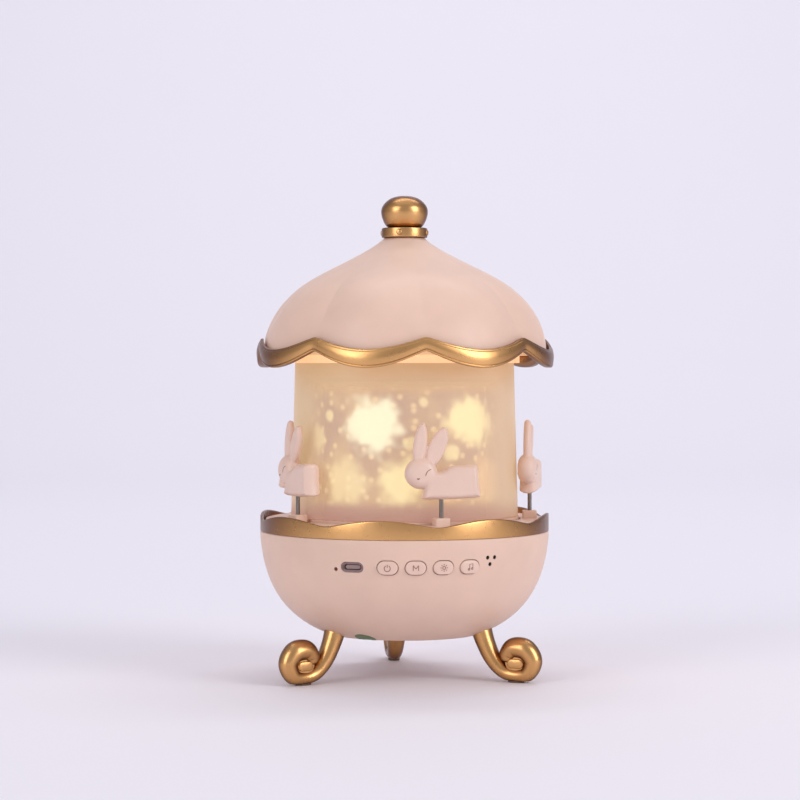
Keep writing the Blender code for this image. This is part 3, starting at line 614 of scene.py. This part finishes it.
MATERIALS = {
    "pink": moulded("pink_satin_plastic", (0.81, 0.572, 0.455), 0.42, 0.955, soft=0.05),
    "rabbit": moulded("rabbit_plastic", (0.81, 0.59, 0.49), 0.40, 0.96, soft=0.10),
    "button": moulded("button_plastic", (0.80, 0.565, 0.465), 0.38, 0.96),
    "gold": gold_paint("gold_paint", (0.75, 0.425, 0.172), 0.29),
    "white": moulded("white_plastic", (0.80, 0.76, 0.71), 0.45, 0.95),
    # The liner's and the cap's glow is painted lamp light; the lens's glow is the lamp's own.
    "liner": moulded("warm_lit_liner", (0.90, 0.70, 0.50), 0.5, 0.95, glow=((1.0, 0.52, 0.17), 0.42)),
    "cap": moulded("warm_lit_cap", (0.62, 0.47, 0.36), 0.5, 0.95, glow=((1.0, 0.55, 0.25), 0.2)),
    "lens": moulded("lamp_lens", (0.95, 0.90, 0.80), 0.2, 0.97, glow=((1.0, 0.80, 0.48), 2.0)),
    "steel": bright_metal("bright_steel", (0.26, 0.225, 0.20), 0.18),
    "socket": moulded("socket_metal", (0.37, 0.245, 0.235), 0.4, 0.85),
    "red": moulded("indicator_red", (0.16, 0.012, 0.01), 0.25, 0.8),
    "port": plain_dark("port_plastic", (0.22, 0.135, 0.13), 0.4),
    "black": plain_dark("black_plastic", (0.020, 0.017, 0.016), 0.6),
    # Near black: painted shade for the dark inside of the microphone holes.
    "hole_shade": plain_dark("painted_hole_shade", (0.004, 0.003, 0.003), 0.95),
    "pad": plain_dark("pad_rubber", (0.10, 0.055, 0.03), 0.6),
    "mark": plain_dark("mark_paint", (0.27, 0.145, 0.125), 0.5),
    "board": circuit_board("circuit_board"),
    "label": moulded("green_label", (0.13, 0.22, 0.085), 0.35, 0.8),
    "film": printed_film("printed_film"),
    "shade": frosted("frosted_shade"),
}


# ---- bowl


BOWL_LINE = np.array(bezier(BOWL_CURVE, 400))[::-1]  # lowest point first


def bowl_radius(z):
    return float(np.interp(z, BOWL_LINE[:, 1], BOWL_LINE[:, 0]))


def bowl_normal(z):
    """Outward slope of the bowl at that height, as (radial, vertical) parts of a unit vector."""
    rise = (bowl_radius(z + 0.4) - bowl_radius(z - 0.4)) / 0.8
    length = hypot(1.0, rise)
    return 1.0 / length, -rise / length


def inner_bowl(steps):
    curve = bezier(BOWL_CURVE, steps)
    inside = []
    for k, (r, z) in enumerate(curve):
        r0, z0 = curve[max(k - 1, 0)]
        r1, z1 = curve[min(k + 1, steps)]
        length = hypot(r1 - r0, z1 - z0)
        inside.append((r + WALL * (z1 - z0) / length, z - WALL * (r1 - r0) / length))
    return inside


def wall_hole(width, height, degrees, z, steps=14):
    """A pill-shaped cutter that goes right through the bowl's wall."""
    return on_side(prism(pill(width, height, steps), 56, 70), degrees, z)


def make_bowl():
    inner = inner_bowl(20)
    ledge_r = inner[0][0] - 2.4
    top = BOWL_HIGH.z
    section = [(BOWL_R - 0.25, top), (BOWL_R - 0.02, top - 0.25), (BOWL_R, 63.0), (BOWL_R, 62.2)]
    section += bezier(BOWL_CURVE, 44)
    section += [(32.9, BOWL_LOW.z + 0.3), (32.9, 21.0), (27.0, 21.0), (27.0, 23.0)]
    section += [p for p in reversed(inner) if 24.0 < p[1] < 56.0]
    section += [(ledge_r, 57.4), (ledge_r, 59.7), (BOWL_R - WALL, 59.7), (BOWL_R - WALL, top)]
    bowl = piece("bowl_body", swept_ring(lambda d: section, 240), "base", "pink", ["bowl_shell"])
    holes = [wall_hole(PORT_W, PORT_H, PORT_ANGLE, PANEL_Z)]
    for degrees in BUTTONS.values():
        holes.append(wall_hole(BUTTON_W + BUTTON_GAP, BUTTON_H + BUTTON_GAP, degrees, PANEL_Z))
    for degrees, z in MIC_HOLES:
        holes.append(wall_hole(MIC_HOLE, MIC_HOLE, degrees, z, 8))
    holes.append(wall_hole(LAMP_HOLE, LAMP_HOLE, LAMP_HOLE_ANGLE, PANEL_Z - 1.0, 8))
    cut(bowl, holes)
    smooth_outside(bowl)


def smooth_outside(bowl):
    """Gives the bowl's outer faces the true surface's normals, so that its openings leave no creases."""
    mesh = bowl.data
    normals = []
    for polygon in mesh.polygons:
        for index in polygon.loop_indices:
            point = mesh.vertices[mesh.loops[index].vertex_index].co / MM
            radius = hypot(point.x, point.y)
            normal = polygon.normal
            on_curve = abs(radius - bowl_radius(point.z)) < 0.12
            if on_curve and BOWL_LOW.z + 0.4 < point.z < BOWL_HIGH.z - 0.4:
                radial, up = bowl_normal(point.z)
                true = Vector((point.x / radius * radial, point.y / radius * radial, up))
                if true.dot(polygon.normal) > 0.9:
                    normal = true
            normals.append(normal)
    mesh.shade_smooth()
    mesh.normals_split_custom_set(normals)


def scallop(degrees, turn, soft=0.0):
    """0 at a cusp of the lobed edge and 1 at the middle of a lobe, the cusp rounded by soft."""
    wave = sin(radians((degrees - turn) * LOBES / 2))
    return (sqrt(wave * wave + soft * soft) - soft) / (sqrt(1 + soft * soft) - soft)


def make_rim():
    foot = BOWL_HIGH.z + 0.08  # the visible band starts on the bowl's edge, above its tongue
    tongue_r = BOWL_R - WALL - 0.3

    def section(degrees):
        top = RIM_HIGH.z - RIM_DIP * (1 - scallop(degrees, RIM_TURN, 0.22))
        corners = [(BOWL_R, foot, 0.25), (BOWL_R, top, 0.75), (BOWL_R - 1.5, top, 0.7)]
        corners += [(BOWL_R - 1.6, foot + 1.3, 0.3), (tongue_r - 0.9, foot + 1.2, 0.2)]
        corners += [(tongue_r - 0.9, RIM_LOW.z, 0.2), (tongue_r, RIM_LOW.z, 0.2), (tongue_r, foot, 0)]
        return rounded(corners, 0.2, 4)

    piece("rim_band", swept_ring(section, 320, RIM_TURN), "base", "gold", ["bowl_rim"], 50)


# ---- control panel


PANEL_R = bowl_radius(PANEL_Z)


def make_buttons():
    for name, degrees in BUTTONS.items():
        cap = domed_prism(pill(BUTTON_W, BUTTON_H, 18), 56.6, PANEL_R + 0.75, 0.7, 6, 0.18)
        flange = prism(pill(BUTTON_W + 1.8, BUTTON_H + 1.6), 56.5, 57.3)
        work = join([on_side(w, degrees, PANEL_Z) for w in (cap, flange)])
        button = f"button_{name}"
        piece(f"{name}_button_cap", work, button, "button", [button])
        make_icon(name, degrees, PANEL_R + 0.92)


def make_port():
    """The moulded recess, and the metal socket with its tongue at the bottom of it."""
    works = [
        ring_of(pill(PORT_W - 0.2, PORT_H - 0.2), 0.65, PANEL_R - 3.2, PANEL_R - 0.35),
        prism(pill(PORT_W - 0.4, PORT_H - 0.4), PANEL_R - 4.2, PANEL_R - 3.1),
    ]
    piece("port_recess", join([on_side(w, PORT_ANGLE, PANEL_Z) for w in works]), "base", "port")
    works = [
        ring_of(pill(8.4, 2.9, 12), 0.3, PANEL_R - 8.0, PANEL_R - 0.9),
        domed_prism(pill(6.8, 1.7, 10), PANEL_R - 8.0, PANEL_R - 1.3, 0.25, 3),
    ]
    socket = join([on_side(w, PORT_ANGLE, PANEL_Z) for w in works])
    piece("port_socket", socket, "base", "socket", ["charging_socket"])


# A near-black plug in each microphone hole: painted shade for the hole's dark inside.
def make_microphone_hole_shades():
    width = MIC_HOLE - 0.05
    for number, (degrees, z) in enumerate(MIC_HOLES, 1):
        outside = bowl_radius(z)
        plug = on_side(prism(pill(width, width, 8), outside - 3.4, outside - 0.35), degrees, z)
        piece(f"mic_hole_shade_{number}", plug, "base", "hole_shade")


def ring_of(outline, wall, low, high):
    """A hollow sleeve with the outline as its outside."""
    width = max(x for x, _ in outline)
    height = max(y for _, y in outline)
    inner = [(x * (width - wall) / width, y * (height - wall) / height) for x, y in outline]
    rows = []
    for points, z in ((outline, low), (outline, high), (inner, high), (inner, low)):
        rows.append([(x, y, z) for x, y in points])
    return skin(rows, closed_along=True)


def raised_line(points, width, low, high, closed):
    """A flat band of that width along the points, raised from low to high."""
    line = [Vector(p) for p in points]
    count = len(line)
    rows = []
    for k, here in enumerate(line):
        before = line[(k - 1) % count] if closed or k else here
        after = line[(k + 1) % count] if closed or k < count - 1 else here
        along = (after - before).normalized()
        side = Vector((-along.y, along.x)) * width / 2
        left, right = here + side, here - side
        corners = ((left, low), (left, high), (right, high), (right, low))
        rows.append([(p.x, p.y, z) for p, z in corners])
    return skin(rows, closed, not closed)


def arc(cx, cy, radius, start, end, steps):
    turns = [radians(start + (end - start) * k / steps) for k in range(steps + 1)]
    return [(cx + radius * cos(t), cy + radius * sin(t)) for t in turns]


def icon_lines(name):
    """The lines of a button's mark, as (points, closed)."""
    if name == "power":
        return [(arc(0, -0.15, 1.25, 120, 420, 16), False), ([(0, 0.2), (0, 1.4)], False)]
    if name == "mode":
        corners = [(-1.1, -1.1), (-1.1, 1.1), (0, -0.3), (1.1, 1.1), (1.1, -1.1)]
        return [(list(pair), False) for pair in zip(corners, corners[1:])]
    if name == "light":
        rays = []
        for k in range(8):
            turn = radians(45 * k)
            rays.append(([(cos(turn) * r, sin(turn) * r) for r in (1.05, 1.55)], False))
        return [(arc(0, 0, 0.6, 0, 345, 18), True), *rays]
    stem = [([(-0.45, -0.9), (-0.45, 1.1), (1.0, 1.35), (1.0, -0.6)], False)]
    heads = [(arc(-0.8, -0.95, 0.34, 0, 340, 12), True), (arc(0.65, -0.65, 0.34, 0, 340, 12), True)]
    return stem + heads


ICON_STROKE, ICON_RISE = 0.34, 0.06


def make_icon(name, degrees, radius):
    works = []
    for points, closed in icon_lines(name):
        line = raised_line(points, ICON_STROKE, radius - 0.3, radius + ICON_RISE, closed)
        works.append(on_side(line, degrees, PANEL_Z))
    piece(f"{name}_mark", join(works), f"button_{name}", "mark")


def make_cover_screws():
    """Low-headed screws with a six-sided recess, holding the bottom cover."""
    seat = low_high("bottom_cover")[0].z - 0.02
    for number in (1, 2, 3):
        name = f"cover_screw_{number}"
        low, high = low_high(name)
        middle = (low + high) / 2
        head = [(0, 26.0), (1.15, 26.0), (1.15, seat), (2.1, seat)]
        head += [(2.1, seat - 0.12), (1.8, seat - 0.38), (0, seat - 0.42)]
        screw = piece(f"cover_screw_head_{number}", turned(head, 40), "base", "steel", [name])
        cut(screw, [prism(arc(0, 0, 0.85, 0, 300, 5), seat - 2.0, seat - 0.1)])
        screw.data.transform(Matrix.Translation((middle.x * MM, middle.y * MM, 0)))


LABEL_R, LABEL_ANGLE, LABEL_OUT = 4.6, -33.0, 35.4  # its size, and where its middle is


def make_label():
    """A plain round label stuck under the bowl, following its curve."""
    centre = around(LABEL_OUT, LABEL_ANGLE)
    work = bmesh.new()

    def on_bowl(x, y, lift):
        point = centre + Vector((x, y, 0))
        radius = min(max(point.length, 33.4), 45)
        z = float(np.interp(radius, BOWL_LINE[:, 0], BOWL_LINE[:, 1]))
        return work.verts.new((point.x, point.y, z - lift))

    edges = []
    for lift in (0.04, 0.16):
        rows = []
        for share in (1.0, 0.66, 0.33):
            rows.append([on_bowl(x, y, lift) for x, y in arc(0, 0, LABEL_R * share, 0, 350, 35)])
        middle = on_bowl(0, 0, lift)
        loop_faces(work, rows, True, False)
        for here, following in zip(rows[2], rows[2][1:] + rows[2][:1]):
            work.faces.new((here, following, middle))
        edges.append(rows[0])
    loop_faces(work, edges, True, False)
    piece("underside_label", work, "base", "label")


# ---- feet

# distance from the axis, height and half thickness
LEG = ((33.6, 31.5, 4.7), (35.6, 25.0, 4.65), (38.2, 17.0, 4.1), (41.9, 9.6, 3.65), (46.6, 4.7, 3.2))
# angle round the eye, distance from it and half thickness
SCROLL = ((-95, 5.5, 3.05), (-40, 7.1, 3.5), (5, 8.0, 3.95), (50, 7.2, 4.55))
SCROLL += ((95, 6.1, 4.45), (132, 4.9, 3.95), (158, 4.3, 3.45))
FOOT_WIDEN = 1.08  # a foot is that much thicker along the bowl than it is in its own plane
EYE_R, EYE_W, EYE_H, EYE_DEPTH = 53.1, 7.6, 4.1, 3.1
WEB_R, WEB_DEPTH = 4.3, 2.3
PAD_R, PAD_HALF = 52.6, 3.6


def foot_line():
    points = list(LEG)
    for degrees, reach, half in SCROLL:
        turn = radians(degrees)
        points.append((SCROLL_R + reach * cos(turn), EYE_Z + reach * sin(turn), half))
    return smooth_line(points, 10)


def above_bowl():
    """Everything above the bowl's outside, which the top end of a foot is cut to."""
    profile = [(0, 80), (BOWL_R + 8, 80), (BOWL_R + 8, 61.5)]
    profile += [(r + 0.02, z - 0.02) for r, z in bezier(BOWL_CURVE, 60)] + [(0, BOWL_LOW.z - 0.02)]
    return turned(profile, 96)


def scroll_eye(degrees):
    """The flat-faced eye of a scroll and the web round it, on both sides of the foot."""
    works = []
    for side in (1, -1):
        flip = Matrix.Diagonal((1, 1, side, 1))
        eye = domed_prism(pill(EYE_W, EYE_H, 12), 0.0, EYE_DEPTH, 0.7, 6, 0.15)
        works.append(moved(eye, upright(degrees, EYE_R, EYE_Z - 0.4) @ flip))
        web = domed_prism(arc(0, 0, WEB_R, 0, 352.5, 47), 0.0, WEB_DEPTH, 0.3, 3)
        works.append(moved(web, upright(degrees, SCROLL_R + 0.2, EYE_Z) @ flip))
    return join(works)


def make_feet():
    line = foot_line()
    oval = [(x, y * 0.72) for x, y in arc(0, 0, PAD_HALF, 0, 352.5, 47)]
    for name, degrees in FOOT_ANGLES.items():
        turn = Matrix.Rotation(radians(degrees), 3, "Z")

        def to_world(x, z, depth):
            return around(x, degrees, z) + turn @ Vector((depth * FOOT_WIDEN, 0, 0))

        work = tube(line, 28, to_world, 0.55)
        foot = piece(f"foot_{name}_scroll", work, "base", "gold", [f"foot_{name}"])
        under = prism([(-80, -80), (80, -80), (80, 80), (-80, 80)], -20, PAD_HIGH.z)
        cut(foot, [above_bowl(), under])
        foot.data.shade_smooth()
        foot.data.set_sharp_from_angle(angle=radians(50))
        piece(f"foot_{name}_eye", scroll_eye(degrees), "base", "gold")
        pad = moved(prism(oval, PAD_LOW.z, PAD_HIGH.z + 0.05), Matrix.Rotation(radians(90), 4, "Z"))
        moved(pad, outward(degrees, 0, PAD_R))
        piece(f"foot_{name}_pad", pad, "base", "pad", [f"foot_pad_{name}"])


# ---- carousel


def gear_outline(teeth, addendum, dedendum, share, turn):
    pitch_r = MODULE * teeth / 2
    step = 360.0 / teeth
    shape = ((-0.32, -dedendum), (-0.25, -dedendum * 0.3), (-0.14, addendum), (0.14, addendum))
    shape += ((0.25, -dedendum * 0.3), (0.32, -dedendum))
    outline = []
    for k in range(teeth):
        for offset, out in shape:
            outline.append((pitch_r + out, turn + k * step + offset * step * share))
    return outline


def make_carousel():
    top = RING_HIGH.z - SOCKET_HEIGHT
    low = top - 2.0
    section = rounded([(60.6, top, 0.4), (60.6, low), (50.6, low), (50.6, top, 0.4)], 0.15, 3)
    works = [swept_ring(lambda d: section, 200)]
    teeth = gear_outline(RING_TEETH, 1.8, 1.3, 1.15, 180.0)
    skirt = []
    for radius, degrees in teeth:
        corners = ((58.4, low + 0.02), (58.4, RING_LOW.z), (radius, RING_LOW.z), (radius, low + 0.02))
        skirt.append([around(r, degrees, z) for r, z in corners])
    works.append(skin(skirt, closed_along=True))
    square = rounded([(-3.1, -3.1), (3.1, -3.1), (3.1, 3.1), (-3.1, 3.1)], 0.7, 4)
    for degrees in RABBIT_ANGLES:
        socket = domed_prism(square, top - 0.2, RING_HIGH.z, 0.45, 4)
        works.append(moved(socket, outward(degrees, 0, RABBIT_R)))
    piece("carousel_platform", join(works), "carousel", "pink", ["carousel_ring"])


# The body's outline, with each corner's own radius.
RABBIT_BODY = ((-8.6, 0.0, 1.2), (5.0, 0.0, 3.0), (16.6, 0.8, 1.0), (15.7, 5.0, 2.0), (15.2, 14.5, 1.9))
RABBIT_BODY += ((3.4, 14.0, 3.0), (0.8, 11.6, 2.0), (-6.0, 11.0, 2.0), (-7.4, 4.0, 1.0))
HEAD_X, HEAD_Z, HEAD_LENGTH, HEAD_HEIGHT = -8.5, 10.8, 6.9, 6.5  # its middle and its half sizes
EARS = ((-8.9, 22.5, 9.7, 2.9, 8.0), (-1.75, 21.6, 9.0, 3.6, 22.0))  # middle, half length, half width, lean
PILLOW_ROWS = 7  # rows of faces on each side of a pillow's middle


def rabbit_shapes():
    """The rabbit's masses as overlapping bodies, nose towards -X, standing on z = 0."""
    works = [pillow(rounded(RABBIT_BODY, 0, 6), 3.7, 2.1)]
    turns = np.linspace(0, 2 * pi, 48, endpoint=False)
    head = [(HEAD_X + HEAD_LENGTH * cos(t), HEAD_Z + HEAD_HEIGHT * sin(t)) for t in turns]
    works.append(pillow(head, 3.95, 4.0))
    for x, z, length, half, tilt in EARS:
        c, s = cos(radians(tilt)), sin(radians(tilt))
        leaf = []
        for t in turns:
            across = half * copysign(abs(sin(t)) ** 1.2, sin(t))
            up = -length * cos(t)
            leaf.append((x + across * c + up * s, z - across * s + up * c))
        works.append(pillow(leaf, 1.55, 1.45))
    return works


def pillow(outline, half, edge):
    """The outline in the XZ plane, half thick each way along Y and rounded inwards by edge."""
    centre = np.mean(outline, axis=0)
    points = [np.array(p) for p in outline]
    rows = []
    for k in range(-PILLOW_ROWS, PILLOW_ROWS + 1):
        turn = pi / 2 * k / PILLOW_ROWS
        inset, y = edge * (1 - cos(turn)), half * sin(turn)
        row = []
        for before, here, after in zip(points[-1:] + points, points, points[1:] + points[:1]):
            along = after - before
            normal = np.array((along[1], -along[0])) / max(np.hypot(*along), 1e-9)
            if normal @ (here - centre) < 0:
                normal = -normal
            x, z = here - normal * inset
            row.append((x, y, z))
        rows.append(row)
    return skin(rows, capped=True)


def rabbit_mesh():
    """One smooth skin over the rabbit's masses, with the rod's hole left to the rod that fills it."""
    work = join(rabbit_shapes())
    bmesh.ops.scale(work, vec=(MM, MM, MM), verts=work.verts)
    masses = add_mesh("rabbit_masses", work)
    remesh = masses.modifiers.new("skin", "REMESH")
    remesh.mode = "VOXEL"
    remesh.voxel_size = 0.00034
    remesh.use_smooth_shade = True
    smooth = masses.modifiers.new("soften", "SMOOTH")
    smooth.factor = 0.5
    smooth.iterations = 9
    graph = bpy.context.evaluated_depsgraph_get()
    surface = bpy.data.meshes.new_from_object(masses.evaluated_get(graph), depsgraph=graph)
    bpy.data.objects.remove(masses, do_unlink=True)
    surface.shade_smooth()
    return surface


def face_marks(surface):
    """Closed eyes and a small nose lying on both sides of the head."""
    depths = BVHTree.FromPolygons(
        [v.co / MM for v in surface.vertices], [tuple(p.vertices) for p in surface.polygons]
    )
    lid = arc(-4.2, 9.8, 2.9, 100, 178, 8)
    eye = [(x, z, 0.19 if 0 < k < 8 else 0.1) for k, (x, z) in enumerate(lid)]
    nose = [(-10.7, 8.85, 0.25), (-10.2, 8.6, 0.32), (-9.7, 8.85, 0.25)]
    marks = []
    for side in (-1, 1):

        def on_skin(x, z, y):
            hit = depths.ray_cast(Vector((x, side * 20, z)), Vector((0, -side, 0)))[0]
            return Vector((x, (hit.y if hit else side * 3.9) + y * 0.6, z))

        marks += [tube(line, 8, on_skin, 0.6) for line in (eye, nose)]
    return join(marks)


def make_rabbits():
    surface = rabbit_mesh()
    heading = Matrix.Rotation(radians(RABBIT_HEADING), 4, "Z")
    for number, degrees in enumerate(RABBIT_ANGLES, 1):
        place = outward(degrees, RABBIT_LOW.z, RABBIT_R) @ heading
        work = bmesh.new()
        work.from_mesh(surface)
        bmesh.ops.scale(work, vec=(1 / MM,) * 3, verts=work.verts)
        name = f"rabbit_{number}"
        piece(f"{name}_figure", moved(work, place), "carousel", "rabbit", [name], 180)
        piece(f"{name}_face", moved(face_marks(surface), place), "carousel", "mark")
        low, high = (corner.z for corner in low_high(f"rod_{number}"))
        rod = turned([(0, high), (0.6, high), (0.9, high - 0.3), (0.9, low), (0, low)], 28)
        moved(rod, Matrix.Translation(around(RABBIT_R, degrees)))
        piece(f"{name}_rod", rod, "carousel", "steel", [f"rod_{number}"])


# ---- shade and film


def make_shade():
    bottom_r, top_r, wall = SHADE_HIGH.x, 47.7, 1.6
    corners = [(top_r, SHADE_HIGH.z), (bottom_r, SHADE_LOW.z)]
    corners += [(bottom_r - wall, SHADE_LOW.z), (top_r - wall, SHADE_HIGH.z)]
    section = rounded(corners, 0.4, 3)
    piece("shade_wall", swept_ring(lambda d: section, 200), "base", "shade", ["shade"])
    outer, inner = FILM_HIGH.x, FILM_HIGH.x - 0.8
    film = [(outer, FILM_HIGH.z), (outer, FILM_LOW.z), (inner, FILM_LOW.z), (inner, FILM_HIGH.z)]
    piece("film_sheet", swept_ring(lambda d: film, 200), "film_drum", "film", ["projector_film"])


# ---- canopy


def lobe_edges(degrees, soft):
    lobe = scallop(degrees, CANOPY_TURN, soft)
    top = CUSP_TOP_Z + (LOBE_TOP_Z - CUSP_TOP_Z) * lobe
    bottom = CUSP_BOTTOM_Z + (LOBE_BOTTOM_Z - CUSP_BOTTOM_Z) * lobe
    return top, bottom, CANOPY_R - 1.7 * (1.0 - lobe)


DOME_OUTSIDE = bezier(DOME_UPPER, 12) + bezier(DOME_LOWER, 30)[1:]
DOME_WALL = 1.9
SQUEEZED_Z, LOWEST_Z = 156.0, DOME_LOWER[3][1]  # between these heights the dome's rows are squeezed
FINIAL_HOLE_R = 4.0


def ramp(run, span):
    """The run as a share of its span, kept within 0 and 1."""
    return min(1.0, max(0.0, run / span))


def fluted(radius, z, degrees):
    """The dome's radius, drawn in where two lobes meet."""
    fade = ramp(189.0 - z, 24.0)
    depth = 0.030 + 0.020 * sin(pi * ramp(z - 147.0, 40.0))
    return radius * (1.0 - depth * fade * (1.0 - scallop(degrees, CANOPY_TURN, 0.03)))


def dome_section(degrees):
    """The dome's wall at that angle, squeezed so that its last row ends on the scalloped edge."""
    rise = lobe_edges(degrees, 0.0)[0] - 2.3 - LOWEST_Z
    outside, inside = [], []
    for r, z in DOME_OUTSIDE:
        lift = rise * ramp(SQUEEZED_Z - z, SQUEEZED_Z - LOWEST_Z)
        outside.append((fluted(r, z, degrees), z + lift))
    for r, z in DOME_OUTSIDE[::-3]:
        lift = rise * ramp(SQUEEZED_Z - z, SQUEEZED_Z - LOWEST_Z)
        drop = DOME_WALL * ramp(z - 150.0, 22.0)
        inset = DOME_WALL - 0.9 * ramp(z - 160.0, 22.0)
        inside.append((max(fluted(r, z, degrees) - inset, FINIAL_HOLE_R), z - drop + lift))
    return outside + inside[:-1] + [(FINIAL_HOLE_R, 187.0), (FINIAL_HOLE_R, DOME_HIGH.z)]


def trim_section(degrees):
    """The gold edge at that angle: a bead above, a bulging band, and a lip below."""
    top, bottom, outer = lobe_edges(degrees, 0.05)
    seat = top - 2.6
    corners = [
        (outer - 2.2, top, 0.2),
        (outer - 1.0, top, 0.45), (outer - 0.75, top - 0.9, 0.15), (outer - 0.45, top - 1.15, 0.25),
        (outer, top - 0.45 * (top - bottom), 1.6),
        (outer - 0.35, bottom + 1.15, 0.5), (outer - 0.65, bottom + 0.95, 0.15),
        (outer - 0.35, bottom + 0.7, 0.25), (outer - 0.55, bottom, 0.3), (outer - 2.8, bottom, 0.3),
        (outer - 4.4, bottom + 1.5, 0.4), (outer - 4.4, seat, 0.2), (outer - 2.2, seat, 0.1),
    ]
    return rounded(corners, 0.2, 3)


def make_canopy():
    dome = swept_ring(dome_section, 384, CANOPY_TURN)
    piece("canopy_dome", dome, "canopy", "pink", ["canopy_shell"], 60)
    edge = swept_ring(trim_section, 384, CANOPY_TURN)
    piece("canopy_edge", edge, "canopy", "gold", ["canopy_trim"], 50)


def make_finial():
    low, high = COLLAR_LOW.z, COLLAR_HIGH.z
    corners = [(9.98, high, 0.7), (9.98, low, 0.6), (4.0, low, 0.1), (4.0, high, 0.1)]
    works = [swept_ring(lambda d: rounded(corners, 0.5, 5), 120)]
    for k in range(4):
        stud = domed_prism(arc(0, 0, 1.25, 0, 345, 23), 9.0, 10.5, 0.5, 5, 0.12)
        works.append(on_side(stud, -18.7 + 90.0 * k, (low + high) / 2))
    piece("finial_ring", join(works), "canopy", "gold", ["finial_collar"])
    top = KNOB_HIGH.z - 0.02
    half = [(0.0, top), (3.4, top - 0.35), (6.2, top - 1.3), (8.4, top - 3.0)]
    half += [(9.75, top - 4.9), (10.2, top - 6.7), (10.0, 200.8), (9.5, 199.1)]
    half += [(8.9, 197.7), (8.25, 196.6), (7.6, 195.95)]
    profile = [tuple(p) for p in smooth_line(half, 6)]
    profile[0] = (0.0, top)
    profile += [(6.9, KNOB_LOW.z), (1.8, KNOB_LOW.z), (1.8, 201.0), (0, 201.0)]
    piece("finial_ball", turned(profile, 128), "canopy", "gold", ["finial_knob"])


# ---- CAD nodes that stay

STAYING = {
    "pink": ("bottom_cover", "deck"),
    "white": ("drive_pinion", "gearbox", "lamp_column", "drum_gear"),
    "red": ("indicator_lens",),
    "liner": ("canopy_liner", "drum_cap"),
    "cap": ("shade_cap",),
    "lens": ("led_lens",),
    "steel": ("finial_screw", "microphone", "motor", "speaker_magnet", "battery"),
    "board": ("main_board", "led_board", "switch_board"),
    "black": ("speaker_frame", "speaker_cone", *(f"switch_{name}" for name in BUTTONS)),
}


def paint_staying_nodes():
    for kind, names in STAYING.items():
        for name in names:
            slots = NODES[name].material_slots
            if not slots:
                NODES[name].data.materials.append(MATERIALS[kind])
            for slot in slots:
                slot.material = MATERIALS[kind]


# ---- stage, lights and camera


def make_stage():
    """A pale floor that sweeps up into a backdrop."""
    work = bmesh.new()
    line = [(-3.0, 0.0), (1.6, 0.0)]
    for k in range(1, 17):
        turn = pi / 2 * k / 16
        line.append((1.6 + 1.2 * sin(turn), 1.2 * (1 - cos(turn))))
    line.append((2.8, 5.0))
    rows = [[work.verts.new((x, y, z)) for y, z in line] for x in (-5.0, 5.0)]
    loop_faces(work, rows, False, False)
    sweep = add_mesh("studio_sweep", work)
    sweep.data.shade_smooth()
    n = Nodes("studio_paper")
    n.feed("Base Color", n.mix(n.spread(n.noise(3.0), 0.0, 1.0), (0.86, 0.84, 0.90), (0.85, 0.83, 0.89)))
    n.set("Roughness", 0.75)
    sweep.data.materials.append(n.material)


def area_light(name, place, target, size, power, colour):
    data = bpy.data.lights.new(name, "AREA")
    data.shape = "RECTANGLE"
    data.size, data.size_y = size
    data.energy = power
    data.color = colour
    lamp = add(bpy.data.objects.new(name, data))
    lamp.location = place
    lamp.rotation_mode = "QUATERNION"
    lamp.rotation_quaternion = (Vector(target) - Vector(place)).to_track_quat("-Z", "Y")


def make_lights():
    area_light("key_left", (-1.25, -1.05, 0.75), (0, 0, 0.1), (0.8, 1.3), 8.6, (1.0, 0.985, 0.97))
    area_light("fill_right", (1.25, -1.05, 0.75), (0, 0, 0.1), (0.8, 1.3), 13.4, (1.0, 0.985, 0.975))
    area_light("top_soft", (0.0, 0.25, 1.9), (0, 0.1, 0), (1.8, 1.8), 3.6, (0.98, 0.97, 1.0))
    area_light("back_wash", (0.5, 0.9, 2.6), (0.3, 2.6, 0.7), (3.0, 0.8), 33.0, (0.97, 0.96, 1.0))
    world = bpy.data.worlds.new("studio_air")
    world.use_nodes = True
    air = world.node_tree.nodes["Background"]
    air.inputs["Color"].default_value = (0.90, 0.88, 0.95, 1)
    air.inputs["Strength"].default_value = 0.47
    bpy.context.scene.world = world


VIEW_TURN = -5.3  # the camera stands a little to the left of the box's front
DISTANCE = 1.0
CAMERA_Z = 0.13615
SENSOR, LENS = 36.0, 103.05
AIM_DOWN, AIM_LEFT = 0.01572, 0.001965  # how much the view slopes down, and how far it turns left


def make_camera():
    data = bpy.data.cameras.new("camera")
    data.sensor_width, data.lens = SENSOR, LENS
    data.clip_start, data.clip_end = 0.05, 20.0
    camera = add(bpy.data.objects.new("camera", data))
    place = around(DISTANCE, VIEW_TURN, CAMERA_Z)
    right = around(1.0, VIEW_TURN + 90.0)
    target = Vector((0, 0, CAMERA_Z - AIM_DOWN * DISTANCE)) - right * AIM_LEFT * DISTANCE
    camera.location = place
    camera.rotation_mode = "QUATERNION"
    camera.rotation_quaternion = (target - place).to_track_quat("-Z", "Y")
    bpy.context.scene.camera = camera


bpy.context.scene.view_settings.view_transform = "Standard"
make_bowl()
make_rim()
make_buttons()
make_port()
make_microphone_hole_shades()
make_cover_screws()
make_label()
make_feet()
make_carousel()
make_rabbits()
make_shade()
make_canopy()
make_finial()
paint_staying_nodes()
make_stage()
make_lights()
make_camera()
